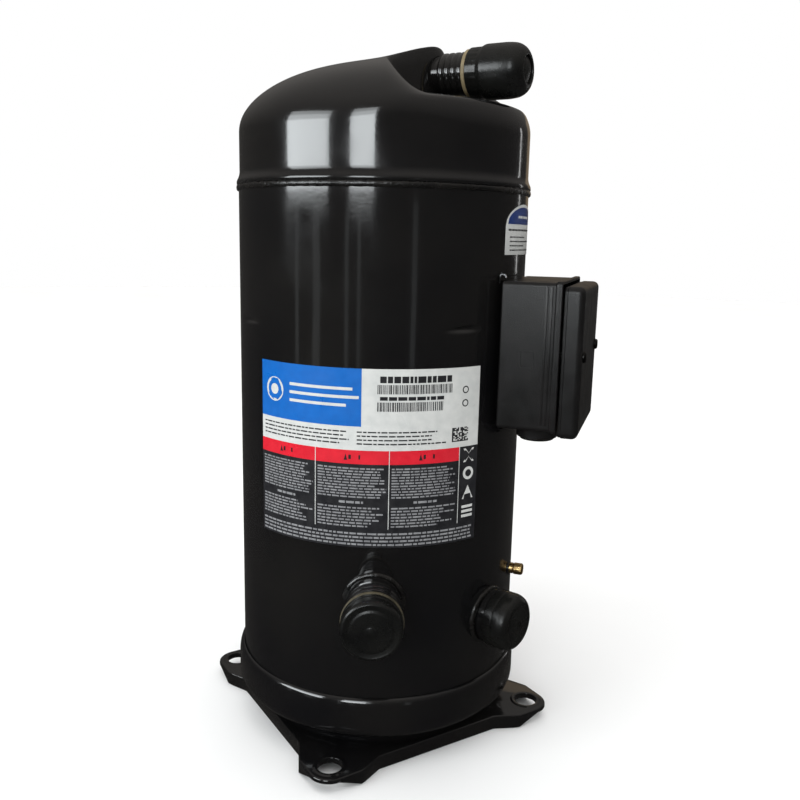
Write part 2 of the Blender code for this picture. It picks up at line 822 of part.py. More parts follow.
# ---------------------------------------------------------------- pump
def wrap_outline(turn):
    """One involute wall in plan: out along its outer face, back along its inner face."""
    lead = WRAP_T / 2 / BASE_CIRCLE_R
    steps = round((WRAP_END - WRAP_START) / WRAP_STEP)
    outer, inner = [], []
    for i in range(steps + 1):
        angle = WRAP_START + (WRAP_END - WRAP_START) * i / steps
        for face, shift in ((outer, lead), (inner, -lead)):
            roll = angle + shift
            x = BASE_CIRCLE_R * (math.cos(angle) + roll * math.sin(angle))
            y = BASE_CIRCLE_R * (math.sin(angle) - roll * math.cos(angle))
            face.append(tuple(Matrix.Rotation(turn, 2) @ Vector((x, y))))
    return outer + inner[::-1]


def make_fixed_scroll():
    body = turned(
        "fixed_scroll",
        [
            (0.0, FIXED_PLATE_Z),
            (0.0920, FIXED_PLATE_Z),
            (0.0920, HOUSING_TOP_Z + GAP),
            (0.1045, HOUSING_TOP_Z + GAP),
            (0.1045, FIXED_TOP_Z - 0.0060),
            (0.0900, FIXED_TOP_Z - 0.0060),
            (0.0860, FIXED_TOP_Z),
            (0.0530, FIXED_TOP_Z),
            (0.0530, FIXED_TOP_Z - 0.0080),
            (0.0290, FIXED_TOP_Z - 0.0080),
            (0.0290, FIXED_TOP_Z),
            (0.0, FIXED_TOP_Z),
        ],
        INNER_SEGMENTS,
    )
    wrap = slab("fixed_wrap", [wrap_outline(0.0)], SCROLL_FLOOR_Z + GAP, FIXED_PLATE_Z + 0.001)
    join(body, wrap)
    cut(body, rod("discharge_port", 0.0065, FIXED_PLATE_Z - 0.001, FIXED_TOP_Z + 0.01, 20))
    cut(body, block("suction_inlet", (0.030, 0.050, 0.036), polar(0.1000, -150.0, 0.4050), -150.0))
    for index, bearing in enumerate((45, 135, 225, 315)):
        hole = rod(f"fixed_bolt_hole_{index}", 0.0037, 0.36, 0.46, 12, tuple(polar(0.0985, bearing).xy))
        cut(body, hole)
    return keep(body, cast_iron())


def make_orbiting_scroll():
    centre = (ORBIT_R, 0.0)
    hub = turned(
        "orbiting_scroll",
        [
            (0.0, SCROLL_FLOOR_Z),
            (0.0840, SCROLL_FLOOR_Z),
            (0.0840, ORBIT_PLATE_Z),
            (0.0235, ORBIT_PLATE_Z),
            (0.0235, 0.3500),
            (0.0185, 0.3500),
            (0.0185, ORBIT_PLATE_Z + 0.0030),
            (0.0, ORBIT_PLATE_Z + 0.0030),
        ],
        INNER_SEGMENTS,
        centre,
    )
    wrap = slab("orbiting_wrap", [wrap_outline(math.pi)], SCROLL_FLOOR_Z - 0.001, FIXED_PLATE_Z - GAP)
    wrap.matrix_world = Matrix.Translation((ORBIT_R, 0.0, 0.0)) @ wrap.matrix_world
    join(hub, wrap)
    length = KEY_W + 2 * (ORBIT_R + 0.0006)
    for index, y in ((1, KEY_R), (2, -KEY_R)):
        size = (KEY_W + 2 * GAP, length + 0.012, 0.012)
        place = (ORBIT_R, y + math.copysign(0.006, y), ORBIT_PLATE_Z)
        cut(hub, block(f"orbiting_slot_{index}", size, place))
    return keep(hub, cast_iron())


def make_oldham_coupling():
    """The sliding ring that keeps the orbiting scroll from turning: keys below on X, above on Y."""
    low, high = 0.3665, 0.3716
    body = ring("oldham_coupling", 0.0700, 0.0825, low, high, INNER_SEGMENTS, (ORBIT_R, 0.0))
    for index, x in ((1, KEY_R), (2, -KEY_R)):
        place = (ORBIT_R + x, 0.0, low - 0.0027)
        join(body, block(f"lower_key_{index}", (KEY_W, KEY_W, 0.0066), place))
    for index, y in ((1, KEY_R), (2, -KEY_R)):
        join(body, block(f"upper_key_{index}", (KEY_W, KEY_W, 0.0066), (ORBIT_R, y, high + 0.0027)))
    return keep(body, material("sintered_steel", (0.35, 0.35, 0.36), 1.0, 0.45))


def make_main_bearing_housing():
    well_r = 0.0320
    recess_z = 0.3660
    body = turned(
        "main_bearing_housing",
        [
            (0.0193, 0.3020),
            (0.0300, 0.3020),
            (0.0320, 0.3300),
            (0.0620, 0.3420),
            (0.1045, 0.3520),
            (0.1045, HOUSING_TOP_Z),
            (0.0925, HOUSING_TOP_Z),
            (0.0925, recess_z),
            (0.0625, recess_z),
            (0.0625, HOUSING_TOP_Z - 0.0024),
            (well_r, HOUSING_TOP_Z - 0.0024),
            (well_r, 0.3480),
            (0.0193, 0.3480),
        ],
        INNER_SEGMENTS,
    )
    pads = ring("housing_pads", 0.0980, BORE_R - GAP, 0.3380, 0.3660, SHELL_SEGMENTS)
    for index, bearing in enumerate((45, 135, 225, 315)):
        place = polar(0.1220, bearing, 0.3500)
        cut(pads, block(f"pad_gap_{index}", (0.060, 0.115, 0.060), place, bearing))
    for index, (x, y) in enumerate(((1, 0), (0, 1), (-1, 0), (0, -1))):
        arm = block(f"housing_arm_{index}", (0.0200, 0.0200, 0.0200), (0.0980 * x, 0.0980 * y, 0.3560))
        join(body, arm)
    join(body, pads)
    travel = ORBIT_R + 0.0006
    for index, x in ((1, KEY_R), (2, -KEY_R)):
        size = (KEY_W + 2 * travel, KEY_W + 2 * GAP, 0.0140)
        cut(body, block(f"housing_slot_{index}", size, (x, 0.0, recess_z)))
    for index, bearing in enumerate((45, 135, 225, 315)):
        hole = rod(f"housing_bolt_hole_{index}", 0.0033, 0.34, 0.38, 12, tuple(polar(0.0985, bearing).xy))
        cut(body, hole)
    return keep(body, cast_iron())


def make_scroll_bolts():
    for index, bearing in enumerate((45, 135, 225, 315), start=1):
        seat = FIXED_TOP_Z - 0.0060 + GAP
        profile = [
            (0.0, 0.3550),
            (0.0030, 0.3550),
            (0.0030, seat),
            (0.0058, seat),
            (0.0058, seat + 0.0060),
            (0.0, seat + 0.0060),
        ]
        bolt = turned(f"scroll_bolt_{index}", profile, 12, tuple(polar(0.0985, bearing).xy))
        keep(bolt, steel())


def make_bearings():
    keep(ring("main_bearing_bush", 0.0163, 0.0190, 0.3040, 0.3460), brass())
    keep(ring("orbiting_bush", 0.0158, 0.0182, 0.3510, 0.3720, SMALL_SEGMENTS, (ORBIT_R, 0.0)), brass())
    keep(ring("lower_bearing_bush", 0.0123, 0.0147, 0.0660, 0.0860), brass())
    keep(ring("lower_thrust_washer", 0.0123, 0.0220, 0.0883, 0.0901), steel())
    low, centre = HOUSING_TOP_Z - 0.0021, (ORBIT_R / 2, 0.0)
    keep(ring("thrust_washer", 0.0370, 0.0588, low, HOUSING_TOP_Z, 32, centre), steel())


def make_seals_and_valves():
    low = FIXED_TOP_Z - 0.0077
    profile = [
        (0.0295, low),
        (0.0525, low),
        (0.0525, 0.4520),
        (0.0380, 0.4520),
        (0.0380, 0.4580),
        (0.0340, 0.4580),
        (0.0340, 0.4520),
        (0.0295, 0.4520),
    ]
    seal_steel = material("seal_steel", (0.40, 0.40, 0.42), 1.0, 0.4)
    keep(turned("floating_seal", profile, INNER_SEGMENTS), seal_steel)
    keep(rod("check_valve_disc", 0.0100, FIXED_TOP_Z + GAP, FIXED_TOP_Z + GAP + 0.0015), steel())
    guard = turned(
        "valve_guard",
        [
            (0.0060, 0.4525),
            (0.0140, 0.4525),
            (0.0140, FIXED_TOP_Z + GAP),
            (0.0165, FIXED_TOP_Z + GAP),
            (0.0165, 0.4545),
            (0.0060, 0.4545),
        ],
        SMALL_SEGMENTS,
    )
    for index, bearing in enumerate((30, 150, 270)):
        place = polar(0.0150, bearing, 0.4482)
        cut(guard, block(f"guard_window_{index}", (0.0200, 0.0120, 0.0060), place, bearing))
    keep(guard, steel())
    relief = turned(
        "relief_valve",
        [
            (0.0, 0.4455),
            (0.0068, 0.4480),
            (0.0068, 0.4612),
            (0.0105, 0.4612),
            (0.0105, 0.4680),
            (0.0, 0.4740),
        ],
        16,
        tuple(polar(0.0800, 150.0).xy),
    )
    keep(relief, brass())


# ---------------------------------------------------------------- motor
def make_motor():
    core = ring("stator_core", STATOR_BORE_R, STATOR_R, STATOR_BOTTOM_Z, STATOR_TOP_Z, SHELL_SEGMENTS)
    for index, bearing in enumerate((0, 90, 180, 270)):
        place = polar(0.1135, bearing, 0.225)
        cut(core, block(f"stator_flat_{index}", (0.0090, 0.0420, 0.200), place, bearing))
    keep(core, laminations())
    copper = material("copper_winding", (0.55, 0.24, 0.12), 0.8, 0.35)
    for name, near, far in (
        ("upper_winding", STATOR_TOP_Z + GAP, STATOR_TOP_Z + 0.0230),
        ("lower_winding", STATOR_BOTTOM_Z - GAP, STATOR_BOTTOM_Z - 0.0330),
    ):
        mid = (near + far) / 2
        profile = [
            (0.0600, near),
            (0.0930, near),
            (0.0990, mid),
            (0.0930, far),
            (0.0660, far),
            (0.0600, mid),
        ]
        keep(turned(name, profile, 32), copper)
    low, high = STATOR_TOP_Z + 0.0235, STATOR_TOP_Z + 0.0330
    keep(rod("motor_protector", 0.0120, low, high, 20, tuple(polar(0.0790, 200.0).xy)), steel())


def make_rotor():
    core = ring("rotor_core", SHAFT_R + GAP, ROTOR_R, STATOR_BOTTOM_Z, STATOR_TOP_Z, 32)
    keep(core, laminations())
    aluminium = material("cast_aluminium", (0.62, 0.63, 0.64), 1.0, 0.4)
    for name, low, high in (
        ("upper_end_ring", STATOR_TOP_Z + GAP, STATOR_TOP_Z + 0.0075),
        ("lower_end_ring", STATOR_BOTTOM_Z - 0.0075, STATOR_BOTTOM_Z - GAP),
    ):
        keep(ring(name, 0.0300, 0.0520, low, high, 32), aluminium)
    weights = (
        ("upper_counterweight", 0.0168, STATOR_TOP_Z + 0.0078, STATOR_TOP_Z + 0.0195, 180.0),
        ("lower_counterweight", 0.0310, STATOR_BOTTOM_Z - 0.0200, STATOR_BOTTOM_Z - 0.0078, 0.0),
    )
    for name, inner_r, low, high, bearing in weights:
        face = arc((0.0, 0.0), 0.0480, bearing - 80, bearing + 80, 14)
        back = arc((0.0, 0.0), inner_r, bearing + 80, bearing - 80, 8)
        keep(slab(name, [face + back], low, high), cast_iron())


def make_crankshaft():
    shaft = turned(
        "crankshaft",
        [
            (0.0, 0.0560),
            (0.0120, 0.0560),
            (0.0120, 0.0904),
            (SHAFT_R, 0.0904),
            (SHAFT_R, 0.3470),
            (0.0, 0.3470),
        ],
        SMALL_SEGMENTS,
    )
    join(shaft, rod("crank_pin", PIN_R, 0.3460, 0.3715, 20, (ORBIT_R, 0.0)))
    cut(shaft, rod("oil_gallery", 0.0026, 0.050, 0.380, 10, (0.0030, 0.0)))
    keep(shaft, steel())
    centre = (ORBIT_R, 0.0)
    keep(ring("drive_bushing", PIN_R + GAP, 0.0155, 0.3510, 0.3710, SMALL_SEGMENTS, centre), steel())
    profile = [
        (0.0030, 0.0375),
        (0.0060, 0.0375),
        (0.0110, 0.0460),
        (0.0110, 0.0557),
        (0.0030, 0.0557),
    ]
    keep(turned("oil_pickup", profile, 20), steel())


def make_lower_bearing_bracket():
    bracket = ring("lower_bearing_bracket", 0.0150, 0.0270, 0.0640, 0.0880, 32)
    for index in range(3):
        bearing = 90.0 + 120.0 * index
        arm_at, foot_at = polar(0.0665, bearing, 0.0740), polar(0.1085, bearing, 0.0830)
        arm = block(f"bracket_arm_{index}", (0.0900, 0.0220, 0.0060), arm_at, bearing)
        foot = block(f"bracket_foot_{index}", (0.0050, 0.0300, 0.0300), foot_at, bearing)
        join(bracket, arm, foot)
    reach = rod("bracket_reach", BORE_R - 2 * GAP, 0.050, 0.120, SHELL_SEGMENTS)
    boolean(bracket, reach, "INTERSECT", "trim_to_shell")
    return keep(bracket, steel())


def make_suction_baffle():
    """The sheet that turns the returning gas down, behind the suction stub."""
    first, last = SUCTION_BEARING - 20.0, SUCTION_BEARING + 20.0
    outer_r = BORE_R - 2 * GAP
    points = arc((0.0, 0.0), 0.1060, first, last, 10)
    points += arc((0.0, 0.0), outer_r, last, last + 2.0, 1)
    points += arc((0.0, 0.0), outer_r, last + 2.0, last + 3.0, 1)[1:]
    points += arc((0.0, 0.0), 0.1048, last + 1.0, first - 1.0, 10)
    points += arc((0.0, 0.0), outer_r, first - 3.0, first, 1)
    return keep(slab("suction_baffle", [points], 0.1200, 0.1690), steel())


def make_leads():
    """The sleeved lead bundle from the winding to the plug on the terminal's inner pins."""
    low_z = TERMINAL_Z - 0.0130
    plug = box_block("lead_connector", 0.0900, 0.1005, 0.0140, low_z, TERMINAL_Z + 0.0130)
    keep(plug, black_plastic())
    curve = bpy.data.curves.new("motor_leads", "CURVE")
    curve.dimensions = "3D"
    curve.bevel_depth = 0.0034
    curve.bevel_resolution = 2
    curve.use_fill_caps = True
    curve.resolution_u = 4
    spline = curve.splines.new("BEZIER")
    path = (
        polar(0.0952, BOX_BEARING, low_z - GAP),
        polar(0.0940, BOX_BEARING + 6.0, low_z - 0.0100),
        polar(0.0860, BOX_BEARING + 26.0, STATOR_TOP_Z + 0.0278),
    )
    spline.bezier_points.add(len(path) - 1)
    for point, at in zip(spline.bezier_points, path):
        point.co = at
        point.handle_left_type = "AUTO"
        point.handle_right_type = "AUTO"
    first = spline.bezier_points[0]
    first.handle_right_type = "FREE"
    first.handle_left_type = "FREE"
    first.handle_right = first.co + Vector((0.0, 0.0, -0.0050))
    first.handle_left = first.co + Vector((0.0, 0.0, 0.0050))
    keep(to_mesh(new_object("motor_leads", curve)), material("lead_sleeve", (0.6, 0.58, 0.52), 0.0, 0.8))


def move_to_frame():
    bpy.context.view_layer.update()
    shift = Matrix.Translation(FRAME_SHIFT)
    for obj in bpy.data.objects:
        obj.matrix_world = shift @ obj.matrix_world


def main():
    clear_scene()
    make_collection(OBJECT_NAME)
    make_collection("cutters")
    make_base_plate()
    make_bottom_cap()
    make_center_shell()
    make_separator_plate()
    make_top_cap()
    make_discharge_fitting()
    make_suction_fitting()
    make_sight_glass()
    make_access_valve()
    make_labels()
    make_box_base()
    make_box_cover()
    make_conduit_plug()
    make_terminals()
    make_fixed_scroll()
    make_orbiting_scroll()
    make_oldham_coupling()
    make_main_bearing_housing()
    make_scroll_bolts()
    make_bearings()
    make_seals_and_valves()
    make_motor()
    make_rotor()
    make_crankshaft()
    make_lower_bearing_bracket()
    make_suction_baffle()
    make_leads()
    move_to_frame()


main()
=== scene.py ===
"""Looks of a hermetic scroll compressor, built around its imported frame.

Metres, +Z up, feet on z = 0. Places come from the frame's own boxes. Bearings are angles about
the shell's axis from +X, in degrees. Each outside CAD node is stood for by a detailed mesh. Welds,
lips, ribs, the clip and the labels' inks are added beside them. The nodes inside the shell keep
their CAD meshes and get a finish by material slot.
"""
import json
import math
import random

import bmesh
import bpy
from mathutils import Matrix, Vector


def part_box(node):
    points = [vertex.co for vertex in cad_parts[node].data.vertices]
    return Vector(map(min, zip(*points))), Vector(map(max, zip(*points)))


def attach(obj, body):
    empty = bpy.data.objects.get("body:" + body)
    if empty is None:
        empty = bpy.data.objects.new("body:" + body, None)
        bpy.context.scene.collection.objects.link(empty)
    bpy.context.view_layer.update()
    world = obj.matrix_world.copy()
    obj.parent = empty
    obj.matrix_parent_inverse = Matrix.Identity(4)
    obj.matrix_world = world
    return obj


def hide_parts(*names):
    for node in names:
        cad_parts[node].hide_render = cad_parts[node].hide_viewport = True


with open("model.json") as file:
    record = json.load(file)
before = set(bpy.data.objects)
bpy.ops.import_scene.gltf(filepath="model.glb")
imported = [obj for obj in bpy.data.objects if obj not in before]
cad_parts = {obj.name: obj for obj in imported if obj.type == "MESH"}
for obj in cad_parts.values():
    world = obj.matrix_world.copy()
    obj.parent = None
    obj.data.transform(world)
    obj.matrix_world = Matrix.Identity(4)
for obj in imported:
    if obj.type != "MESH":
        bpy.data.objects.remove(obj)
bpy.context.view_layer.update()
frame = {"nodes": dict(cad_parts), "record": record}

# ---------------------------------------------------------------- places read from the frame
SHELL_LOW, SHELL_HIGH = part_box("center_shell")
AXIS = Vector(((SHELL_LOW.x + SHELL_HIGH.x) / 2, (SHELL_LOW.y + SHELL_HIGH.y) / 2, 0.0))
SHELL_R = (SHELL_HIGH.x - SHELL_LOW.x) / 2
SHELL_WALL = 0.0035
GAP = 0.0003  # clearance between pieces that touch

# top cap
CAP_R = 0.1153
CAP_T = 0.0035
CAP_WALL_TOP_Z = 0.4825
CAP_CROWN_Z = 0.53092
CAP_POWER = 2.15
CAP_COLUMNS = 288
FLANK_RISE = 0.0050
FLANK_AWAY = 43.0
FLANK_SPREAD = 17.0
HUMP_RISE = 0.0175
CROWN_LEAN = 0.10
LEAN_BEARING = -110.0
HUMP_BEARING = -58.0
HUMP_REACH = 0.050
HUMP_LENGTH = 0.048
HUMP_WIDTH = 0.040
POCKET_BEARING = -70.0
POCKET_HALF_ANGLE = 36.0
POCKET_SLOPE_ANGLE = 16.0
POCKET_BACK_R = 0.0475
POCKET_FLOOR_Z = 0.5050
POCKET_EDGE_DROP = 0.0100
DISCHARGE_HOLE_R = 0.0143

# base plate
EAR_SPACING = 0.1905
EAR_HOLE_R = 0.0095
EAR_R = 0.0170
PLATE_T = 0.0038
PLATE_TOP_Z = 0.0120
SEAT_RISE = 0.0080
SEAT_R = 0.0940
SIDE_HALF = 0.1027
SIDE_STRAIGHT = 0.0560
FLARE_AT = 0.0765
FLANGE_T = 0.0034

# terminal box
BOX_BEARING = -49.5
BOX_WALL = 0.0024
BOX_SADDLE_R = SHELL_R + 2 * GAP
BOX_BACK_R = 0.1180
BOX_WING_R = 0.1105
TERMINAL_OPENING_R = 0.0240
TERMINAL_HOLE_R = 0.0213
BOX_SKIN = 0.0012  # how far the sides stand back from the rim
BOSS_DROP = 0.0080  # how far the conduit boss hangs below the box
BOSS_R = 0.0158
CONDUIT_HOLE_R = 0.0112
COVER_CORNER_R = 0.0048

# staking dimples that hold the pump's housing
DIMPLE_BEARINGS = (180.0, -90.0, 0.0, 90.0)
DIMPLE_Z = 0.3415
DIMPLE_HALF_WIDTH = 0.0120
DIMPLE_HALF_HEIGHT = 0.0021
DIMPLE_DEPTH = 0.0020
DIMPLE_BAND = 0.006  # half height of the fine mesh round the dimples

TUBE_CUT = (0.100, 0.130)  # reach of a cutter that passes through the tube's wall

ROUND_STEPS = 144
FITTING_STEPS = 64


# ---------------------------------------------------------------- geometry tools
def outward(bearing):
    angle = math.radians(bearing)
    return Vector((math.cos(angle), math.sin(angle), 0.0))


def polar(radius, bearing, z=0.0):
    """A point in the frame, from its distance to the shell's axis, its bearing and its height."""
    return AXIS + outward(bearing) * radius + Vector((0.0, 0.0, z))


def from_bearing(bearing, middle):
    return (bearing - middle + 180.0) % 360.0 - 180.0


def smooth_step(value, low, high):
    share = min(max((value - low) / (high - low), 0.0), 1.0)
    return share * share * (3.0 - 2.0 * share)


def on_axis(z):
    return AXIS + Vector((0.0, 0.0, z))


def upright():
    """Turns local +Z profiles about the shell's axis."""
    return Matrix.Translation(AXIS)


def pointing_out(bearing, height):
    """Turns local +Z into outward at a bearing; local -X is then up and local +Y sideways."""
    lie_down = Matrix.Rotation(math.radians(90.0), 4, "Y")
    turn = Matrix.Rotation(math.radians(bearing), 4, "Z")
    return Matrix.Translation(on_axis(height)) @ turn @ lie_down


def all_round(steps):
    """Bearings at even steps all round the shell."""
    return [360.0 * i / steps for i in range(steps)]


def even_turns(steps):
    """The same in radians, for a circle of any size."""
    return [2 * math.pi * i / steps for i in range(steps)]


def node_spots(node):
    """A CAD node's points, measured from the foot of the shell's axis."""
    return [vert.co - AXIS for vert in frame["nodes"][node].data.vertices]


def middle_bearing(spots):
    middle = sum(spots, Vector()) / len(spots)
    return math.degrees(math.atan2(middle.y, middle.x))


class Fitting:
    """Where a round CAD node that points straight out of the shell lies."""

    def __init__(self, node):
        low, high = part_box(node)
        spots = node_spots(node)
        self.bearing = middle_bearing(spots)
        self.height = (low.z + high.z) / 2
        self.radius = (high.z - low.z) / 2
        reaches = [spot.dot(outward(self.bearing)) for spot in spots]
        self.near = min(reaches)
        self.far = max(reaches)
        self.place = pointing_out(self.bearing, self.height)


def soften(points, steps=4):
    """Rounds the corners of an outline. A point is (x, y) or (x, y, size of its round)."""
    flat = [Vector(point[:2]) for point in points]
    made = []
    for index, point in enumerate(points):
        corner = flat[index]
        size = point[2] if len(point) > 2 else 0.0
        before = flat[index - 1]
        after = flat[(index + 1) % len(flat)]
        back, ahead = before - corner, after - corner
        reach = min(size, 0.48 * back.length, 0.48 * ahead.length)
        if reach < 1e-6:
            made.append(tuple(corner))
            continue
        start = corner + back.normalized() * reach
        end = corner + ahead.normalized() * reach
        for step in range(steps + 1):
            t = step / steps
            spot = start * (1 - t) ** 2 + corner * 2 * t * (1 - t) + end * t**2
            made.append(tuple(spot))
    return made


def bridge(bm, lower, upper):
    """Faces between two closed loops, either of which may be one point."""
    count = max(len(lower), len(upper))
    for i in range(count):
        j = (i + 1) % count
        if len(lower) == 1 and len(upper) == 1:
            return
        if len(lower) == 1:
            bm.faces.new((lower[0], upper[j], upper[i]))
        elif len(upper) == 1:
            bm.faces.new((lower[i], lower[j], upper[0]))
        else:
            bm.faces.new((lower[i], lower[j], upper[j], upper[i]))


def add_loops(bm, rings, closed=False):
    """A skin through rings of points, one after another."""
    loops = [[bm.verts.new(point) for point in points] for points in rings]
    for lower, upper in zip(loops, loops[1:]):
        bridge(bm, lower, upper)
    if closed:
        bridge(bm, loops[-1], loops[0])
    return loops


def add_capped(bm, rings):
    """A skin through rings of points, closed by a face at each end."""
    loops = add_loops(bm, rings)
    bm.faces.new(loops[0][::-1])
    bm.faces.new(loops[-1])


def circle_points(place, radius, height, steps):
    if radius < 1e-6:
        return [place @ Vector((0.0, 0.0, height))]
    turns = even_turns(steps)
    return [place @ Vector((radius * math.cos(t), radius * math.sin(t), height)) for t in turns]


def add_turned(bm, profile, place, steps=FITTING_STEPS):
    """A solid of revolution from its (radius, height) outline, which may start and end on the axis."""
    capped = profile[0][0] < 1e-6 and profile[-1][0] < 1e-6
    rings = [circle_points(place, r, h, steps) for r, h in profile]
    return add_loops(bm, rings, closed=not capped)


def add_tube(bm, path, frames, size, sides=10):
    """A closed bead along a closed path. frames gives two axes for each point, size its radii."""
    rings = []
    for index, (centre, (first, second)) in enumerate(zip(path, frames)):
        wide, tall = size(index)
        turns = even_turns(sides)
        ring = [centre + first * wide * math.cos(t) + second * tall * math.sin(t) for t in turns]
        rings.append(ring)
    return add_loops(bm, rings, closed=True)


def bead_ripple(index, pitch, seed):
    """How a hand-laid weld swells and thins along its run, from about 0.9 to 1.1."""
    wave = 0.06 * math.sin(2 * math.pi * index / pitch)
    wander = 0.05 * math.sin(index * 0.13 + seed) * math.sin(index * 0.047 + 2 * seed)
    return 1.0 + wave + wander


def shown(name, data):
    """A new object in the scene that holds a mesh, a lamp or a camera."""
    made = bpy.data.objects.new(name, data)
    bpy.context.scene.collection.objects.link(made)
    return made


def mesh_of(name, bm):
    mesh = bpy.data.meshes.new(name)
    bm.to_mesh(mesh)
    bm.free()
    return mesh


def piece(name, bm, finish, body="shell", nodes=(), sharp=38.0):
    """Makes an object of a bmesh, in its place in the frame, and hides the CAD nodes that it stands for."""
    bmesh.ops.recalc_face_normals(bm, faces=bm.faces)
    mesh = mesh_of(name, bm)
    mesh.shade_smooth()
    mesh.set_sharp_from_angle(angle=math.radians(sharp))
    mesh.materials.append(finish)
    made = shown(name, mesh)
    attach(made, body)
    if nodes:
        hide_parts(*nodes)
    return made


def carve(obj, bm, operation="DIFFERENCE", sharp=38.0):
    """Cuts a shape out of a piece, or joins it on, and keeps the result as the piece's mesh."""
    bmesh.ops.recalc_face_normals(bm, faces=bm.faces)
    mesh = mesh_of("tool", bm)
    tool = shown("tool", mesh)
    change = obj.modifiers.new("carve", "BOOLEAN")
    change.operation = operation
    change.solver = "EXACT"
    change.object = tool
    bpy.context.view_layer.update()
    graph = bpy.context.evaluated_depsgraph_get()
    result = bpy.data.meshes.new_from_object(obj.evaluated_get(graph))
    obj.modifiers.clear()
    old = obj.data
    obj.data = result
    result.name = obj.name
    bpy.data.meshes.remove(old)
    bpy.data.objects.remove(tool, do_unlink=True)
    bpy.data.meshes.remove(mesh)
    result.shade_smooth()
    result.set_sharp_from_angle(angle=math.radians(sharp))


def plug_shape(place, radius, low, high, steps=48):
    bm = bmesh.new()
    add_turned(bm, [(0.0, low), (radius, low), (radius, high), (0.0, high)], place, steps)
    return bm


# ---------------------------------------------------------------- finishes
def fill_ramp(ramp, stops):
    """Gives a colour ramp node its (position, colour) stops."""
    marks = ramp.color_ramp.elements
    while len(marks) < len(stops):
        marks.new(0.5)
    for mark, (position, colour) in zip(marks, stops):
        mark.position = position
        mark.color = (*colour, 1.0)


class Finish:
    """A procedural material on one Principled shader, with noise in the piece's own coordinates."""

    def __init__(self, name, metallic=0.0, roughness=0.4, specular=0.5):
        self.made = bpy.data.materials.new(name)
        self.made.use_nodes = True
        self.tree = self.made.node_tree
        self.shader = self.tree.nodes["Principled BSDF"]
        self.shader.inputs["Metallic"].default_value = metallic
        self.shader.inputs["Roughness"].default_value = roughness
        self.shader.inputs["Specular IOR Level"].default_value = specular
        self.place = self.tree.nodes.new("ShaderNodeTexCoord").outputs["Object"]

    def link(self, source, target):
        self.tree.links.new(source, target)

    def node(self, kind, **inputs):
        """A new shader node. An underscore in an input's keyword stands for a space in its name."""
        made = self.tree.nodes.new("ShaderNode" + kind)
        for name, value in inputs.items():
            made.inputs[name.replace("_", " ")].default_value = value
        return made

    def coat(self, weight, roughness):
        self.shader.inputs["Coat Weight"].default_value = weight
        self.shader.inputs["Coat Roughness"].default_value = roughness
        return self

    def noise(self, scale, detail=3.0, stretch=(1.0, 1.0, 1.0)):
        mapping = self.node("Mapping", Scale=stretch)
        self.link(self.place, mapping.inputs["Vector"])
        texture = self.node("TexNoise", Scale=scale, Detail=detail)
        self.link(mapping.outputs["Vector"], texture.inputs["Vector"])
        return texture.outputs["Fac"]

    def bands(self, scale, axis, distortion=0.0):
        wave = self.node("TexWave", Scale=scale, Distortion=distortion)
        wave.bands_direction = axis
        self.link(self.place, wave.inputs["Vector"])
        return wave.outputs["Fac"]

    def spread(self, value, low, high, to_low, to_high):
        """Stretches a value's range low to high over to_low to to_high."""
        scale = self.node("MapRange", From_Min=low, From_Max=high, To_Min=to_low, To_Max=to_high)
        self.link(value, scale.inputs["Value"])
        return scale.outputs["Result"]

    def add(self, first, second):
        total = self.node("Math")
        total.operation = "ADD"
        self.link(first, total.inputs[0])
        self.link(second, total.inputs[1])
        return total.outputs["Value"]

    def colours(self, value, stops):
        """Base colour from a value, by (position, colour) stops."""
        ramp = self.node("ValToRGB")
        fill_ramp(ramp, stops)
        self.link(value, ramp.inputs["Fac"])
        self.link(ramp.outputs["Color"], self.shader.inputs["Base Color"])
        return self

    def roughness(self, value, low, high):
        self.link(self.spread(value, 0.3, 0.7, low, high), self.shader.inputs["Roughness"])
        return self

    def bump(self, value, distance):
        relief = self.node("Bump", Distance=distance)
        self.link(value, relief.inputs["Height"])
        self.link(relief.outputs["Normal"], self.shader.inputs["Normal"])
        return self


def paint_finish():
    """Gloss black paint: faint orange peel, soft sags, dust and rubbed patches."""
    look = Finish("gloss_black_paint", specular=0.5).coat(0.55, 0.05)
    look.colours(look.noise(9.0, 6.0), [(0.35, (0.003, 0.003, 0.0035)), (0.7, (0.007, 0.0065, 0.006))])
    dust = look.spread(look.noise(900.0, 2.0), 0.72, 0.80, 0.0, 0.14)
    wear = look.spread(look.noise(28.0, 5.0), 0.35, 0.7, 0.09, 0.19)
    look.link(look.add(dust, wear), look.shader.inputs["Roughness"])
    peel = look.spread(look.noise(330.0, 1.5), 0.0, 1.0, 0.0, 0.05)
    sag = look.noise(24.0, 1.0, (1.0, 1.0, 0.45))
    return look.bump(look.add(peel, sag), 0.00050).made


def weld_finish():
    """The same paint over a weld: rougher, with ripples."""
    look = Finish("painted_weld", specular=0.5).coat(0.4, 0.08)
    look.colours(look.noise(60.0, 4.0), [(0.35, (0.003, 0.003, 0.003)), (0.7, (0.009, 0.008, 0.007))])
    look.roughness(look.noise(140.0, 4.0), 0.14, 0.34)
    return look.bump(look.noise(420.0, 3.0), 0.0007).made


def plastic_finish(name, dark, light, low, high, grain):
    """Moulded black plastic with a fine grain and slightly greyed high spots."""
    look = Finish(name, specular=0.40)
    look.colours(look.noise(34.0, 5.0), [(0.3, dark), (0.72, light)])
    look.roughness(look.noise(75.0, 4.0), low, high)
    return look.bump(look.noise(grain, 2.0), 0.00010).made


def metal_finish(name, dark, light, low, high, scale, stretch=(1.0, 1.0, 1.0), depth=0.0001):
    look = Finish(name, metallic=1.0)
    look.colours(look.noise(scale, 6.0, stretch), [(0.3, dark), (0.7, light)])
    look.roughness(look.noise(scale * 2.3, 4.0, stretch), low, high)
    return look.bump(look.noise(scale * 5.0, 3.0, stretch), depth).made


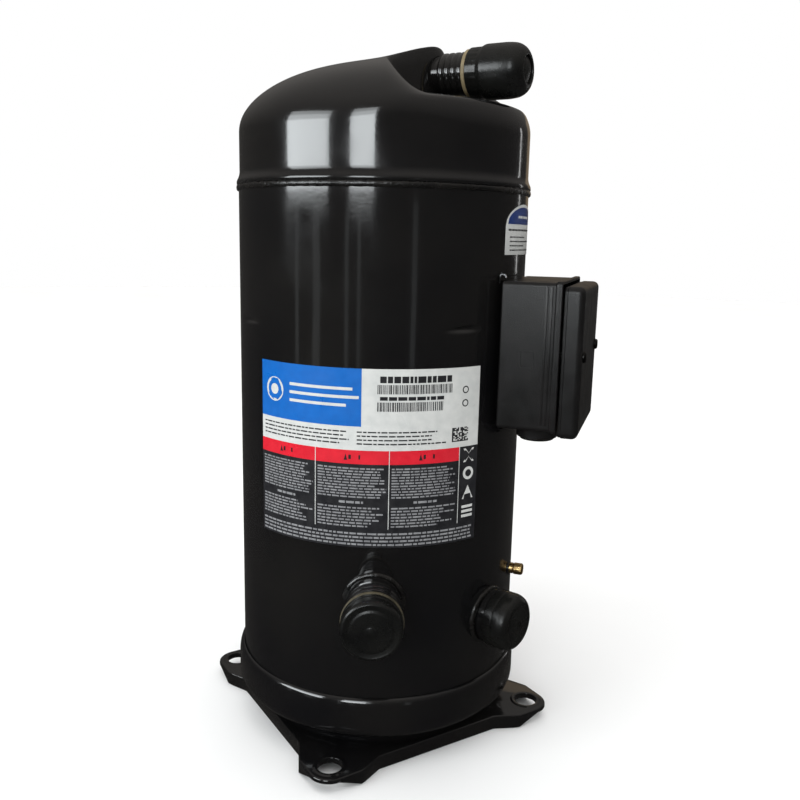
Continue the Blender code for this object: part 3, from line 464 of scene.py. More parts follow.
def film_finish(name, dark, light, gloss=0.32):
    """Printed film: the ink's colour with faint mottling and a slight waviness."""
    look = Finish(name, specular=0.3)
    look.colours(look.noise(140.0, 6.0), [(0.3, dark), (0.7, light)])
    look.roughness(look.noise(45.0, 4.0), gloss - 0.06, gloss + 0.08)
    return look.bump(look.noise(70.0, 2.0), 0.00012).made


def seal_finish(name, dark, light):
    look = Finish(name, specular=0.4)
    look.colours(look.noise(170.0, 5.0), [(0.3, dark), (0.7, light)])
    look.roughness(look.noise(90.0, 3.0), 0.45, 0.65)
    return look.bump(look.noise(700.0, 3.0), 0.0002).made


def iron_finish():
    look = Finish("machined_cast_iron", metallic=0.85)
    look.colours(look.noise(80.0, 6.0), [(0.3, (0.14, 0.13, 0.12)), (0.72, (0.27, 0.26, 0.25))])
    look.roughness(look.noise(160.0, 4.0), 0.38, 0.60)
    return look.bump(look.noise(1400.0, 3.0), 0.00012).made


def lamination_finish():
    """Stacked sheets of steel: fine level lines, with rust-brown varnish between them."""
    look = Finish("stacked_laminations", metallic=0.9)
    sheets = look.bands(280.0, "Z", 0.3)
    look.colours(sheets, [(0.2, (0.12, 0.10, 0.09)), (0.6, (0.30, 0.30, 0.32))])
    look.roughness(look.noise(120.0, 3.0), 0.35, 0.55)
    return look.bump(sheets, 0.0001).made


def winding_finish():
    """Varnished copper wires laid side by side."""
    look = Finish("varnished_winding", metallic=0.75).coat(0.5, 0.15)
    wires = look.bands(160.0, "DIAGONAL", 2.5)
    look.colours(wires, [(0.1, (0.16, 0.05, 0.02)), (0.7, (0.62, 0.27, 0.12))])
    look.roughness(look.noise(150.0, 3.0), 0.25, 0.45)
    return look.bump(wires, 0.0004).made


def sleeve_finish():
    """Woven insulating sleeve."""
    look = Finish("woven_sleeve", specular=0.3)
    weave = look.bands(420.0, "DIAGONAL", 1.0)
    look.colours(weave, [(0.2, (0.42, 0.40, 0.34)), (0.7, (0.68, 0.66, 0.60))])
    look.roughness(look.noise(200.0, 3.0), 0.7, 0.9)
    return look.bump(weave, 0.0002).made


def glass_finish():
    look = Finish("sight_glass", roughness=0.04)
    look.colours(look.noise(60.0, 2.0), [(0.3, (0.70, 0.80, 0.80)), (0.7, (0.80, 0.88, 0.87))])
    look.shader.inputs["Transmission Weight"].default_value = 0.85
    return look.bump(look.noise(120.0, 2.0), 0.00005).made


PAINT = paint_finish()
WELD = weld_finish()
PLASTIC = plastic_finish("moulded_black", (0.004, 0.004, 0.004), (0.009, 0.008, 0.008), 0.28, 0.42, 1500.0)
CAP_PLASTIC = plastic_finish("black_caps", (0.003, 0.003, 0.003), (0.008, 0.008, 0.007), 0.20, 0.34, 700.0)
STEEL = metal_finish("machined_steel", (0.36, 0.36, 0.37), (0.56, 0.56, 0.57), 0.25, 0.42, 90.0)
SINTERED = metal_finish("sintered_steel", (0.26, 0.26, 0.27), (0.42, 0.42, 0.43), 0.42, 0.6, 260.0)
ALUMINIUM = metal_finish("die_cast_aluminium", (0.50, 0.51, 0.52), (0.70, 0.71, 0.72), 0.38, 0.55, 130.0)
BRASS = metal_finish("brass", (0.50, 0.32, 0.12), (0.74, 0.52, 0.24), 0.22, 0.40, 120.0)
DARK_STEEL = metal_finish("black_oxide_steel", (0.02, 0.02, 0.02), (0.05, 0.048, 0.045), 0.30, 0.48, 120.0)
CLIP_STEEL = metal_finish("plated_clip", (0.55, 0.56, 0.60), (0.80, 0.81, 0.84), 0.18, 0.30, 150.0)
SEAL = seal_finish("aged_seal", (0.13, 0.10, 0.05), (0.27, 0.21, 0.12))
# A darker copy of the seal's colour, as painted shade: the suction ring sits in the shade under its cap, and
# only its top would catch light.
SEAL_IN_PAINTED_SHADE = seal_finish("seal_painted_shade", (0.035, 0.030, 0.018), (0.090, 0.075, 0.045))
WHITE_FILM = film_finish("white_film", (0.45, 0.46, 0.45), (0.52, 0.525, 0.51))
BLUE_INK = film_finish("blue_ink", (0.000, 0.090, 0.360), (0.000, 0.105, 0.410))
NAVY_INK = film_finish("navy_ink", (0.006, 0.022, 0.110), (0.012, 0.034, 0.160))
RED_INK = film_finish("red_ink", (0.500, 0.004, 0.016), (0.580, 0.008, 0.022))
BLACK_INK = film_finish("black_ink", (0.010, 0.010, 0.012), (0.020, 0.020, 0.022))
GREY_PRINT = film_finish("grey_print", (0.150, 0.152, 0.160), (0.240, 0.242, 0.250))

SLOT_FINISHES = {
    "black_paint": PAINT,
    "black_plastic": PLASTIC,
    "cast_iron": iron_finish(),
    "steel": STEEL,
    "brass": BRASS,
    "pale_seal": SEAL,
    "label_stock": WHITE_FILM,
    "sight_glass": glass_finish(),
    "terminal_block_plastic": plastic_finish(
        "terminal_block_plastic", (0.44, 0.41, 0.34), (0.60, 0.57, 0.49), 0.42, 0.58, 900.0
    ),
    "green_screw": metal_finish("green_screw", (0.05, 0.24, 0.08), (0.12, 0.40, 0.16), 0.3, 0.5, 150.0),
    "sintered_steel": SINTERED,
    "laminations": lamination_finish(),
    "copper_winding": winding_finish(),
    "cast_aluminium": ALUMINIUM,
    "lead_sleeve": sleeve_finish(),
}


def finish_cad_nodes():
    """Every CAD node that stays in view takes the procedural finish of its material slot."""
    slots = {part["node"]: part["material_slot"] for part in frame["record"]["subparts"]}
    for name, node in frame["nodes"].items():
        node.data.materials.clear()
        node.data.materials.append(SLOT_FINISHES[slots[name]])
        node.data.shade_smooth()
        node.data.set_sharp_from_angle(angle=math.radians(35.0))


# ---------------------------------------------------------------- shell
def dimple(bearing, z):
    """How far the tube is pressed in at a staking mark: a short level crease."""
    depth = 0.0
    up = (z - DIMPLE_Z) / DIMPLE_HALF_HEIGHT
    for middle in DIMPLE_BEARINGS:
        along = math.radians(from_bearing(bearing, middle)) * SHELL_R / DIMPLE_HALF_WIDTH
        if abs(along) < 1.6:
            depth += DIMPLE_DEPTH * math.exp(-(along**4) - up * up)
    return depth


def build_tube():
    low, high = SHELL_LOW.z, SHELL_HIGH.z
    bearings = all_round(ROUND_STEPS)
    heights = [low + (DIMPLE_Z - DIMPLE_BAND - low) * i / 12 for i in range(12)]
    heights += [DIMPLE_Z - DIMPLE_BAND + 0.0006 * i for i in range(21)]
    heights += [DIMPLE_Z + DIMPLE_BAND + (high - DIMPLE_Z - DIMPLE_BAND) * i / 5 for i in range(1, 6)]
    rings = [[polar(SHELL_R - dimple(b, z), b, z) for b in bearings] for z in heights]
    inner = SHELL_R - SHELL_WALL
    rings += [[polar(inner, b, z) for b in bearings] for z in reversed(heights[::3] + [high])]
    bm = bmesh.new()
    add_loops(bm, rings, closed=True)
    tube = piece("shell_tube", bm, PAINT, nodes=["center_shell"])
    holes = (("suction_stub", 0.0203), ("sight_glass_body", 0.0193), ("access_valve", 0.0048))
    for node, radius in holes:
        carve(tube, plug_shape(Fitting(node).place, radius, *TUBE_CUT))
    terminal = Fitting("hermetic_terminal")
    place = pointing_out(BOX_BEARING, terminal.height)
    carve(tube, plug_shape(place, TERMINAL_HOLE_R, *TUBE_CUT))


def build_bottom_cup():
    low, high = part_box("bottom_cap")
    collar_r = (high.x - low.x) / 2
    corner = collar_r - SEAT_R
    under, top = low.z, high.z
    inner_floor = under + 0.0045
    corner_rise = 0.0160
    rise, step_in = 0.0110, collar_r - SHELL_R - 2 * GAP
    shoulder = []
    for step in range(9):
        angle = math.radians(90.0 * step / 8)
        shoulder.append((collar_r - step_in * (1 - math.cos(angle)), top - rise * (1 - math.sin(angle))))
    profile = [(0.0, under)]
    for step in range(13):
        angle = math.radians(90.0 - 7.5 * step)
        drop = corner_rise * math.sin(angle)
        profile.append((collar_r - corner + corner * math.cos(angle), under + corner_rise - drop))
    profile += [
        *shoulder,
        (SHELL_R + GAP, top - 0.0004),
        (SHELL_R + GAP, SHELL_LOW.z - GAP),
        (SHELL_R - SHELL_WALL, SHELL_LOW.z - 0.0010),
        (0.1070, under + 0.0080),
        (SEAT_R, inner_floor),
        (0.0, inner_floor),
    ]
    bm = bmesh.new()
    add_turned(bm, profile, upright(), ROUND_STEPS)
    piece("shell_bottom_cup", bm, PAINT, nodes=["bottom_cap"])


def ring_bead(name, radius, z, wide, tall, pitch, seed):
    """A weld bead laid round the shell."""
    bearings = all_round(360)
    path = [polar(radius, b, z) for b in bearings]
    frames = [(outward(b), Vector((0.0, 0.0, 1.0))) for b in bearings]

    def size(index):
        swell = bead_ripple(index, pitch, seed)
        return wide * swell, tall * swell

    bm = bmesh.new()
    add_tube(bm, path, frames, size, 10)
    piece(name, bm, WELD, sharp=70.0)


# ---------------------------------------------------------------- top cap
def cap_wall_top(bearing):
    """Height where the cap's wall turns into its shoulder: it climbs beside the pocket."""
    away = abs(from_bearing(bearing, POCKET_BEARING))
    return CAP_WALL_TOP_Z + FLANK_RISE * math.exp(-(((away - FLANK_AWAY) / FLANK_SPREAD) ** 2))


def cap_crown(radius, bearing):
    wall = cap_wall_top(bearing)
    share = min(radius / CAP_R, 1.0)
    spot = outward(bearing) * radius
    height = wall + (CAP_CROWN_Z - wall) * (1.0 - share**CAP_POWER) ** (1.0 / CAP_POWER)
    height += CROWN_LEAN * spot.dot(outward(LEAN_BEARING)) * (1.0 - share**6)
    forward = spot.dot(outward(HUMP_BEARING)) - HUMP_REACH
    across = spot.dot(outward(HUMP_BEARING + 90.0))
    hump = math.exp(-((forward / HUMP_LENGTH) ** 2) - (across / HUMP_WIDTH) ** 2)
    return height + HUMP_RISE * hump * (1.0 - share**8)


def cap_height(radius, bearing):
    """Height of the cap's outer face: the crown, with the pocket for the discharge fitting."""
    crown = cap_crown(radius, bearing)
    away = abs(from_bearing(bearing, POCKET_BEARING))
    inside = 1.0 - smooth_step(away, POCKET_HALF_ANGLE - 3.0, POCKET_HALF_ANGLE + POCKET_SLOPE_ANGLE)
    inside *= smooth_step(radius, POCKET_BACK_R - 0.001, POCKET_BACK_R + 0.003)
    if inside <= 0.0:
        return crown
    share = min(radius / CAP_R, 1.0)
    floor = POCKET_FLOOR_Z - POCKET_EDGE_DROP * (1.0 - (1.0 - share**10) ** 0.5)
    return crown + (min(crown, floor) - crown) * inside


def cap_radii():
    middle = [0.0045 * i for i in range(1, 10)]
    pocket = [POCKET_BACK_R - 0.002 + 0.0008 * i for i in range(8)]
    shoulder_start = math.degrees(math.asin((POCKET_BACK_R + 0.0060) / CAP_R))
    turns = [shoulder_start + (89.0 - shoulder_start) * i / 26 for i in range(27)]
    return middle + pocket + [CAP_R * math.sin(math.radians(turn)) for turn in turns]


def build_cap():
    low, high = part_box("top_cap")
    rim_r = (high.x - low.x) / 2
    rim_z = low.z
    bearings = all_round(CAP_COLUMNS)
    radii = cap_radii()
    rings = [[on_axis(cap_height(0.0, 0.0))]]
    rings += [[polar(r, b, cap_height(r, b)) for b in bearings] for r in radii]
    rings.append([polar(CAP_R, b, cap_wall_top(b)) for b in bearings])
    rings.append([polar(CAP_R, b, (cap_wall_top(b) + rim_z + 0.010) / 2) for b in bearings])
    wall = CAP_R - CAP_T
    rim = (
        (CAP_R, rim_z + 0.0100),
        (CAP_R + 0.0002, rim_z + 0.0082),
        (CAP_R + 0.0007, rim_z + 0.0064),
        (CAP_R + 0.0014, rim_z + 0.0048),
        (rim_r - 0.0003, rim_z + 0.0036),
        (rim_r, rim_z + 0.0024),
        (rim_r, rim_z + 0.0008),
        (rim_r - 0.0008, rim_z),
        (wall, rim_z),
    )
    rings += [[polar(r, b, z) for b in bearings] for r, z in rim]
    rings.append([polar(wall, b, cap_wall_top(b) - CAP_T) for b in bearings])
    for r in radii[-2::-3]:
        inner_r = max(r - CAP_T, 0.6 * r)
        rings.append([polar(inner_r, b, cap_height(r, b) - CAP_T) for b in bearings])
    rings.append([on_axis(cap_height(0.0, 0.0) - CAP_T)])
    bm = bmesh.new()
    add_loops(bm, rings)
    cap = piece("shell_top_cap", bm, PAINT, nodes=["top_cap"], sharp=50.0)
    stub = Fitting("discharge_stub")
    carve(cap, plug_shape(stub.place, DISCHARGE_HOLE_R, 0.030, 0.060), sharp=50.0)


# ---------------------------------------------------------------- base plate
def plate_outline(inset, corner_steps=12, side_steps=6):
    """The base plate seen from above: straight sides that flare out to an ear at each corner."""
    half = EAR_SPACING / 2
    side = SIDE_HALF - inset
    edge = half + EAR_R - inset
    bend = SIDE_STRAIGHT - 0.4 * inset
    flare = FLARE_AT - 0.4 * inset
    points = []
    for turn in (0, 90, 180, 270):
        quarter = Matrix.Rotation(math.radians(turn), 2)
        run = [(side, -bend + 2 * bend * i / side_steps) for i in range(side_steps + 1)]
        run += [(side + (edge - side) * t, bend + (flare - bend) * t) for t in (0.25, 0.5, 0.75, 1.0)]
        for step in range(corner_steps + 1):
            angle = math.radians(90.0 * step / corner_steps)
            reach = EAR_R - inset
            run.append((half + reach * math.cos(angle), half + reach * math.sin(angle)))
        run += [(flare - (flare - bend) * t, edge - (edge - side) * t) for t in (0.0, 0.25, 0.5, 0.75)]
        points += [quarter @ Vector(spot) for spot in run]
    return points


def flange_foot(spot):
    """Height of the turned-down edge's foot: it slants up to the plate where an ear begins."""
    under = PLATE_TOP_Z - PLATE_T
    near = min(abs(spot.x), abs(spot.y))
    share = (near - (FLARE_AT - 0.0010)) / 0.0120
    return under * min(max(share, 0.0), 1.0)


def plate_ring(inset, z):
    """One ring of the plate at an inset from its edge. z is a height, or a function of the spot."""
    ring = []
    for spot in plate_outline(inset):
        height = z(spot) if callable(z) else z
        ring.append(AXIS + Vector((spot.x, spot.y, height)))
    return ring


def ear_places():
    half = EAR_SPACING / 2
    return [Matrix.Translation(AXIS + Vector((x, y, 0.0))) for x in (-half, half) for y in (-half, half)]


def build_base():
    under = PLATE_TOP_Z - PLATE_T
    seat = PLATE_TOP_Z + SEAT_RISE
    directions = [spot.normalized() for spot in plate_outline(0.0)]

    def round_ring(radius, z):
        return [AXIS + Vector((way.x * radius, way.y * radius, z)) for way in directions]

    rings = [
        [on_axis(seat)],
        round_ring(0.040, seat),
        round_ring(SEAT_R - 0.0020, seat),
        round_ring(SEAT_R - 0.0004, seat - 0.0006),
        round_ring(SEAT_R + 0.0008, seat - 0.0020),
        round_ring(SEAT_R + 0.0036, PLATE_TOP_Z + 0.0022),
        round_ring(SEAT_R + 0.0050, PLATE_TOP_Z + 0.0007),
        round_ring(SEAT_R + 0.0066, PLATE_TOP_Z),
        plate_ring(0.0018, PLATE_TOP_Z),
        plate_ring(0.0008, PLATE_TOP_Z - 0.0003),
        plate_ring(0.0002, PLATE_TOP_Z - 0.0009),
        plate_ring(0.0, PLATE_TOP_Z - 0.0018),
        plate_ring(0.0, lambda spot: min(flange_foot(spot) + 0.0006, under + 0.0004)),
        plate_ring(0.0005, flange_foot),
        plate_ring(FLANGE_T - 0.0005, flange_foot),
        plate_ring(FLANGE_T, lambda spot: min(flange_foot(spot) + 0.0005, under)),
        plate_ring(FLANGE_T + 0.0003, lambda spot: max(flange_foot(spot), under - 0.0006)),
        plate_ring(FLANGE_T + 0.0012, under),
        round_ring(SEAT_R + 0.0030, under),
        round_ring(SEAT_R - 0.0022, seat - PLATE_T),
        [on_axis(seat - PLATE_T)],
    ]
    bm = bmesh.new()
    add_loops(bm, rings)
    plate = piece("mounting_base", bm, PAINT, nodes=["base_plate"], sharp=50.0)
    for place in ear_places():
        carve(plate, plug_shape(place, EAR_HOLE_R, -0.002, 0.020), sharp=50.0)


def build_ear_lips():
    """The low pressed lip round each mounting hole."""
    profile = soften(
        [
            (EAR_HOLE_R + 0.0002, PLATE_TOP_Z - 0.0004),
            (EAR_HOLE_R + 0.0002, PLATE_TOP_Z + 0.0006, 0.0004),
            (EAR_HOLE_R + 0.0022, PLATE_TOP_Z + 0.0009, 0.0006),
            (EAR_HOLE_R + 0.0042, PLATE_TOP_Z - 0.0004),
        ]
    )
    bm = bmesh.new()
    for place in ear_places():
        add_turned(bm, profile, place, 48)
    piece("ear_lips", bm, PAINT)


# ---------------------------------------------------------------- round fittings
def threads(root_r, crest_r, start, end, pitch):
    """Outline of a threaded stretch, as one round ridge for each turn."""
    count = max(int((end - start) / pitch), 1)
    step = (end - start) / count
    points = []
    for i in range(count):
        at = start + step * i
        points += [(root_r, at), (crest_r, at + 0.35 * step), (crest_r, at + 0.65 * step)]
    return [*points, (root_r, end)]


def round_piece(name, profile, fitting, finish, body, node, steps=FITTING_STEPS):
    bm = bmesh.new()
    add_turned(bm, profile, fitting.place, steps)
    return piece(name, bm, finish, body, [node])


def knurl(obj, place, radius, low, high, count, depth):
    """Pulls narrow grip grooves into a cap's side."""
    back = place.inverted()
    for vert in obj.data.vertices:
        spot = back @ vert.co
        away = math.hypot(spot.x, spot.y)
        if low < spot.z < high and away > radius - 0.0006:
            wave = 0.5 + 0.5 * math.cos(count * math.atan2(spot.y, spot.x))
            scale = 1.0 - depth * wave**3 / away
            vert.co = place @ Vector((spot.x * scale, spot.y * scale, spot.z))


def root_weld(name, fitting, stub_r, size, seed):
    """A braze fillet where a stub enters the tube: it follows the line where the two round walls meet."""
    path, frames = [], []
    for angle in even_turns(120):
        up, side = math.cos(angle), math.sin(angle)
        reach = math.sqrt(SHELL_R**2 - (stub_r * side) ** 2)
        path.append(fitting.place @ Vector((-stub_r * up, stub_r * side, reach)))
        across = fitting.place.to_3x3() @ Vector((-up, side, 0.0))
        frames.append((across, fitting.place.to_3x3() @ Vector((0.0, 0.0, 1.0))))

    def radii(index):
        swell = bead_ripple(index, 9.0, seed)
        return size * swell, 0.8 * size * swell

    bm = bmesh.new()
    add_tube(bm, path, frames, radii, 12)
    piece(name, bm, WELD, sharp=70.0)


def build_seal_ring(name, node, finish, depth, edge, steps=FITTING_STEPS):
    """The flat ring that a cap screws down on, with its outer edges rounded."""
    seal = Fitting(node)
    inner = seal.radius - depth
    profile = soften(
        [
            (inner, seal.near),
            (seal.radius, seal.near, edge),
            (seal.radius, seal.far, edge),
            (inner, seal.far),
        ]
    )
    round_piece(name, profile, seal, finish, "shell", node, steps)


def build_discharge():
    stub = Fitting("discharge_stub")
    outer, bore = stub.radius, 0.0110
    profile = [
        (bore, stub.near),
        (0.0140, stub.near),
        (0.0140, stub.near + 0.0130),
        *threads(outer - 0.0012, outer, stub.near + 0.0130, stub.near + 0.0332, 0.0042),
        *threads(outer - 0.0007, outer, stub.near + 0.0366, stub.far - 0.0020, 0.0018),
        (outer - 0.0016, stub.far),
        (bore + 0.0006, stub.far),
        (bore, stub.far - 0.0006),
    ]
    round_piece("discharge_tail", profile, stub, PAINT, "shell", "discharge_stub")
    build_seal_ring("discharge_ring", "discharge_seal_ring", SEAL, 0.0014, 0.0006)

    cap = Fitting("discharge_cap")
    thread = 0.0161
    profile = soften(
        [
            (thread, cap.near),
            (0.0182, cap.near, 0.0006),
            (0.0184, cap.near + 0.0095, 0.0016),
            (cap.radius, cap.near + 0.0120, 0.0014),
            (cap.radius, cap.far - 0.0158, 0.0050),
            (0.0188, cap.far - 0.0083, 0.0040),
            (0.0155, cap.far - 0.0033, 0.0030),
            (0.0095, cap.far - 0.0006, 0.0030),
        ]
    )
    profile += [(0.0, cap.far), (0.0, cap.far - 0.0218), (thread, cap.far - 0.0218)]
    made = round_piece(
        "discharge_cover", profile, cap, CAP_PLASTIC, "discharge_cover", "discharge_cap", 96
    )
    knurl(made, cap.place, 0.0184, cap.near + 0.0006, cap.near + 0.0092, 24, 0.0005)


def dished_cap(body, node, thread, end, pip, groove, chamfer):
    """A screw cap, named like the body it rides on: skirt, grip groove, chamfer and a dished face."""
    cap = Fitting(node)
    outer = cap.radius
    face = cap.far - pip
    profile = soften(
        [
            (thread, cap.near),
            (outer, cap.near, 0.0008),
            (outer, cap.near + groove, 0.0004),
            (outer - 0.0007, cap.near + groove + 0.0006, 0.0004),
            (outer, cap.near + groove + 0.0012, 0.0004),
            (outer, face - 1.3 * chamfer, 0.4 * chamfer),
            (outer - 0.35 * chamfer, face - 0.45 * chamfer, 0.3 * chamfer),
            (outer - chamfer, face, 0.25 * chamfer),
            (outer - chamfer - 0.0012, face - 0.0004, 0.0004),
            (outer - chamfer - 0.0038, face - 0.0010, 0.0006),
            (outer - chamfer - 0.0056, face - 0.0001, 0.0006),
            (0.0046, face, 0.0010),
            (0.0026, face + 0.7 * pip, 0.0008),
        ]
    )
    profile += [(0.0, cap.far), (0.0, cap.far - end), (thread, cap.far - end)]
    round_piece(body, profile, cap, CAP_PLASTIC, body, node, 96)


def build_suction():
    stub = Fitting("suction_stub")
    outer, bore = stub.radius, 0.0165
    shoulder = stub.far - 0.0113
    profile = [
        (bore, stub.near),
        (outer - 0.0016, stub.near),
        (outer - 0.0016, 0.1190),
        (outer - 0.0002, 0.1196),
        (outer - 0.0002, 0.1270),
        *threads(outer - 0.0016, outer, 0.1276, shoulder - 0.0006, 0.0050),
        (outer - 0.0011, shoulder),
        *threads(outer - 0.0019, outer - 0.0011, shoulder + 0.0004, stub.far - 0.0016, 0.0018),
        (outer - 0.0025, stub.far),
        (bore + 0.0006, stub.far),
        (bore, stub.far - 0.0006),
    ]
    round_piece("suction_tail", profile, stub, PAINT, "shell", "suction_stub", 80)
    # The suction ring takes the darker seal colour, which is painted shade.
    build_seal_ring("suction_ring", "suction_seal_ring", SEAL_IN_PAINTED_SHADE, 0.0022, 0.0007, 80)
    dished_cap("suction_cover", "suction_cap", 0.0207, 0.0045, 0.0010, 0.0040, 0.0024)
    root_weld("suction_braze", stub, outer - 0.0002, 0.0026, 1.7)


def build_sight_glass():
    body = Fitting("sight_glass_body")
    outer = body.radius
    bore = 0.0140
    profile = [
        (bore, body.near),
        (outer - 0.0023, body.near),
        (outer - 0.0023, body.near + 0.0100),
        (outer, body.near + 0.0104),
        (outer, body.far - 0.0090),
        (outer - 0.0012, body.far - 0.0085),
        *threads(outer - 0.0019, outer - 0.0012, body.far - 0.0080, body.far - 0.0012, 0.0018),
        (outer - 0.0022, body.far),
        (bore + 0.0006, body.far),
        (bore, body.far - 0.0006),
    ]
    round_piece("sight_glass_holder", profile, body, PAINT, "shell", "sight_glass_body", 80)
    dished_cap("glass_cover", "sight_glass_cap", 0.0203, 0.0096, 0.0006, 0.0070, 0.0052)
    root_weld("sight_glass_braze", body, outer, 0.0026, 3.1)


def build_access_valve():
    valve = Fitting("access_valve")
    outer = valve.radius
    profile = [
        (0.0, valve.near),
        (outer, valve.near),
        (outer, valve.near + 0.0100),
        (outer - 0.0006, valve.near + 0.0104),
        *threads(outer - 0.0016, outer - 0.0011, valve.near + 0.0106, valve.far - 0.0006, 0.0009),
        (outer - 0.0018, valve.far),
        (0.0014, valve.far),
        (0.0014, valve.far - 0.0030),
        (0.0, valve.far - 0.0030),
    ]
    round_piece("access_valve_stem", profile, valve, BRASS, "shell", "access_valve", 36)
    cap = Fitting("access_valve_cap")
    thread = 0.0037
    profile = soften(
        [
            (thread, cap.near),
            (cap.radius, cap.near, 0.0005),
            (cap.radius, cap.far - 0.0012, 0.0006),
            (cap.radius - 0.0012, cap.far, 0.0006),
        ]
    )
    profile += [(0.0, cap.far), (0.0, cap.far - 0.0019), (thread, cap.far - 0.0019)]
    made = round_piece(
        "access_valve_cover", profile, cap, BRASS, "valve_cover", "access_valve_cap", 96
    )
    knurl(made, cap.place, cap.radius, cap.near + 0.0005, cap.far - 0.0012, 24, 0.0003)
    root_weld("access_valve_braze", valve, outer, 0.0016, 5.3)


# ---------------------------------------------------------------- terminal box
BOX_SIDE = outward(BOX_BEARING + 90.0)
BOX_OUT = outward(BOX_BEARING)


def box_point(side, out, z):
    """A point beside the box's middle line, from its sideways, outward and upward distances."""
    return AXIS + BOX_SIDE * side + BOX_OUT * out + Vector((0.0, 0.0, z))


def box_extent(node):
    """Half width, nearest, farthest, lowest and highest reach of a box-shaped CAD node."""
    spots = node_spots(node)
    half = max(spot.dot(BOX_SIDE) for spot in spots)
    outs = [spot.dot(BOX_OUT) for spot in spots]
    heights = [spot.z for spot in spots]
    return half, min(outs), max(outs), min(heights), max(heights)


def box_ring(half, low, high, corner, out, steps=6):
    """A rectangle with round corners across the box's outward direction. out may be a function."""
    ring = []
    corners = ((1, 1), (-1, 1), (-1, -1), (1, -1))
    for turn, (x, z) in enumerate(corners):
        middle = (x * (half - corner), (high - corner) if z > 0 else (low + corner))
        for step in range(steps + 1):
            angle = math.radians(90.0 * turn + 90.0 * step / steps)
            side = middle[0] + corner * math.cos(angle)
            height = middle[1] + corner * math.sin(angle)
            reach = out(side) if callable(out) else out
            ring.append(box_point(side, reach, height))
    return ring


def saddle(side):
    """The box's back: it fits round the shell, and its sides stop short of it."""
    return max(math.sqrt(BOX_SADDLE_R**2 - side**2), BOX_WING_R)


def conduit_place():
    """Turns local +Z up the middle line of the conduit entry under the box."""
    low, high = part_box("conduit_plug")
    middle = (low + high) / 2
    return Matrix.Translation(Vector((middle.x, middle.y, 0.0)))


def build_box_base():
    half, _, rim, low, high = box_extent("terminal_box_base")
    low += BOSS_DROP
    wall = BOX_WALL
    corner = 0.0030
    inner = (half - wall, low + wall, high - wall)

    def outer_ring(step_in, out):
        return box_ring(half - step_in, low + step_in, high - step_in, corner, out)

    floor = BOX_BACK_R + wall
    rings = [
        [box_point(0.0, saddle(0.0), (low + high) / 2)],
        box_ring(half * 0.5, low + 0.03, high - 0.03, corner, saddle),
        outer_ring(BOX_SKIN + 0.0010, saddle),
        outer_ring(BOX_SKIN, lambda side: saddle(side) + 0.0010),
        outer_ring(BOX_SKIN, rim - 0.0100),
        outer_ring(BOX_SKIN, rim - 0.0052),
        outer_ring(0.0003, rim - 0.0044),
        outer_ring(0.0, rim - 0.0036),
        outer_ring(0.0, rim - 0.0006),
        outer_ring(0.0005, rim),
        box_ring(inner[0] + 0.0003, inner[1] - 0.0003, inner[2] + 0.0003, 0.0016, rim),
        box_ring(*inner, 0.0014, rim - 0.0004),
        box_ring(*inner, 0.0014, floor + 0.0010),
        box_ring(inner[0] - 0.001, inner[1] + 0.001, inner[2] - 0.001, 0.0014, floor),
        [box_point(0.0, floor, (low + high) / 2)],
    ]
    bm = bmesh.new()
    add_loops(bm, rings)
    base = piece(
        "box_base", bm, PLASTIC, nodes=["terminal_box_base"], sharp=40.0
    )
    terminal = pointing_out(BOX_BEARING, Fitting("hermetic_terminal").height)
    carve(base, plug_shape(terminal, TERMINAL_OPENING_R, 0.105, 0.125))

    place = conduit_place()
    boss = bmesh.new()
    profile = [
        (0.0, low - BOSS_DROP),
        (BOSS_R - 0.0008, low - BOSS_DROP),
        (BOSS_R, low - BOSS_DROP + 0.0008),
        (BOSS_R, low - 0.0012),
        (BOSS_R + 0.0008, low + 0.0002),
        (BOSS_R + 0.0008, low + 0.0015),
        (0.0, low + 0.0015),
    ]
    add_turned(boss, profile, place)
    carve(base, boss, "UNION")
    carve(base, plug_shape(place, CONDUIT_HOLE_R, low - 0.020, low + 0.020))


def build_box_ribs():
    """Two low bars behind the rim and a small open rectangle on each side face of the box."""
    half, _, rim, low, high = box_extent("terminal_box_base")
    low += BOSS_DROP
    bm = bmesh.new()
    for sign in (-1, 1):
        side = sign * (half - BOX_SKIN)
        for out in (rim - 0.0078, rim - 0.0112):
            add_bar(bm, side, out, low + 0.006, high - 0.004, 0.0003)
        add_frame_mark(bm, side, rim - 0.0240, (low + high) / 2 - 0.002)
    piece("box_ribs", bm, PLASTIC)


def add_block(bm, corners_low, corners_high):
    """A closed hexahedron between two quads of box points."""
    first = [box_point(*spot) for spot in corners_low]
    second = [box_point(*spot) for spot in corners_high]
    add_solid_quads(bm, first, second)


def add_solid_quads(bm, first, second):
    a = [bm.verts.new(point) for point in first]
    b = [bm.verts.new(point) for point in second]
    bm.faces.new(a[::-1])
    bm.faces.new(b)
    bridge(bm, a, b)


def add_bar(bm, side, out, low, high, height):
    """A low half-round bar standing up a side face."""
    lift = math.copysign(height, side)
    widths = ((0.0011, -0.2), (0.0008, 0.6), (0.0003, 1.0), (-0.0003, 1.0), (-0.0008, 0.6), (-0.0011, -0.2))
    rings = []
    for z, scale in ((low, 0.2), (low + 0.0006, 1.0), (high - 0.0006, 1.0), (high, 0.2)):
        rings.append([box_point(side + lift * rise * scale, out + w, z) for w, rise in widths])
    add_capped(bm, rings)


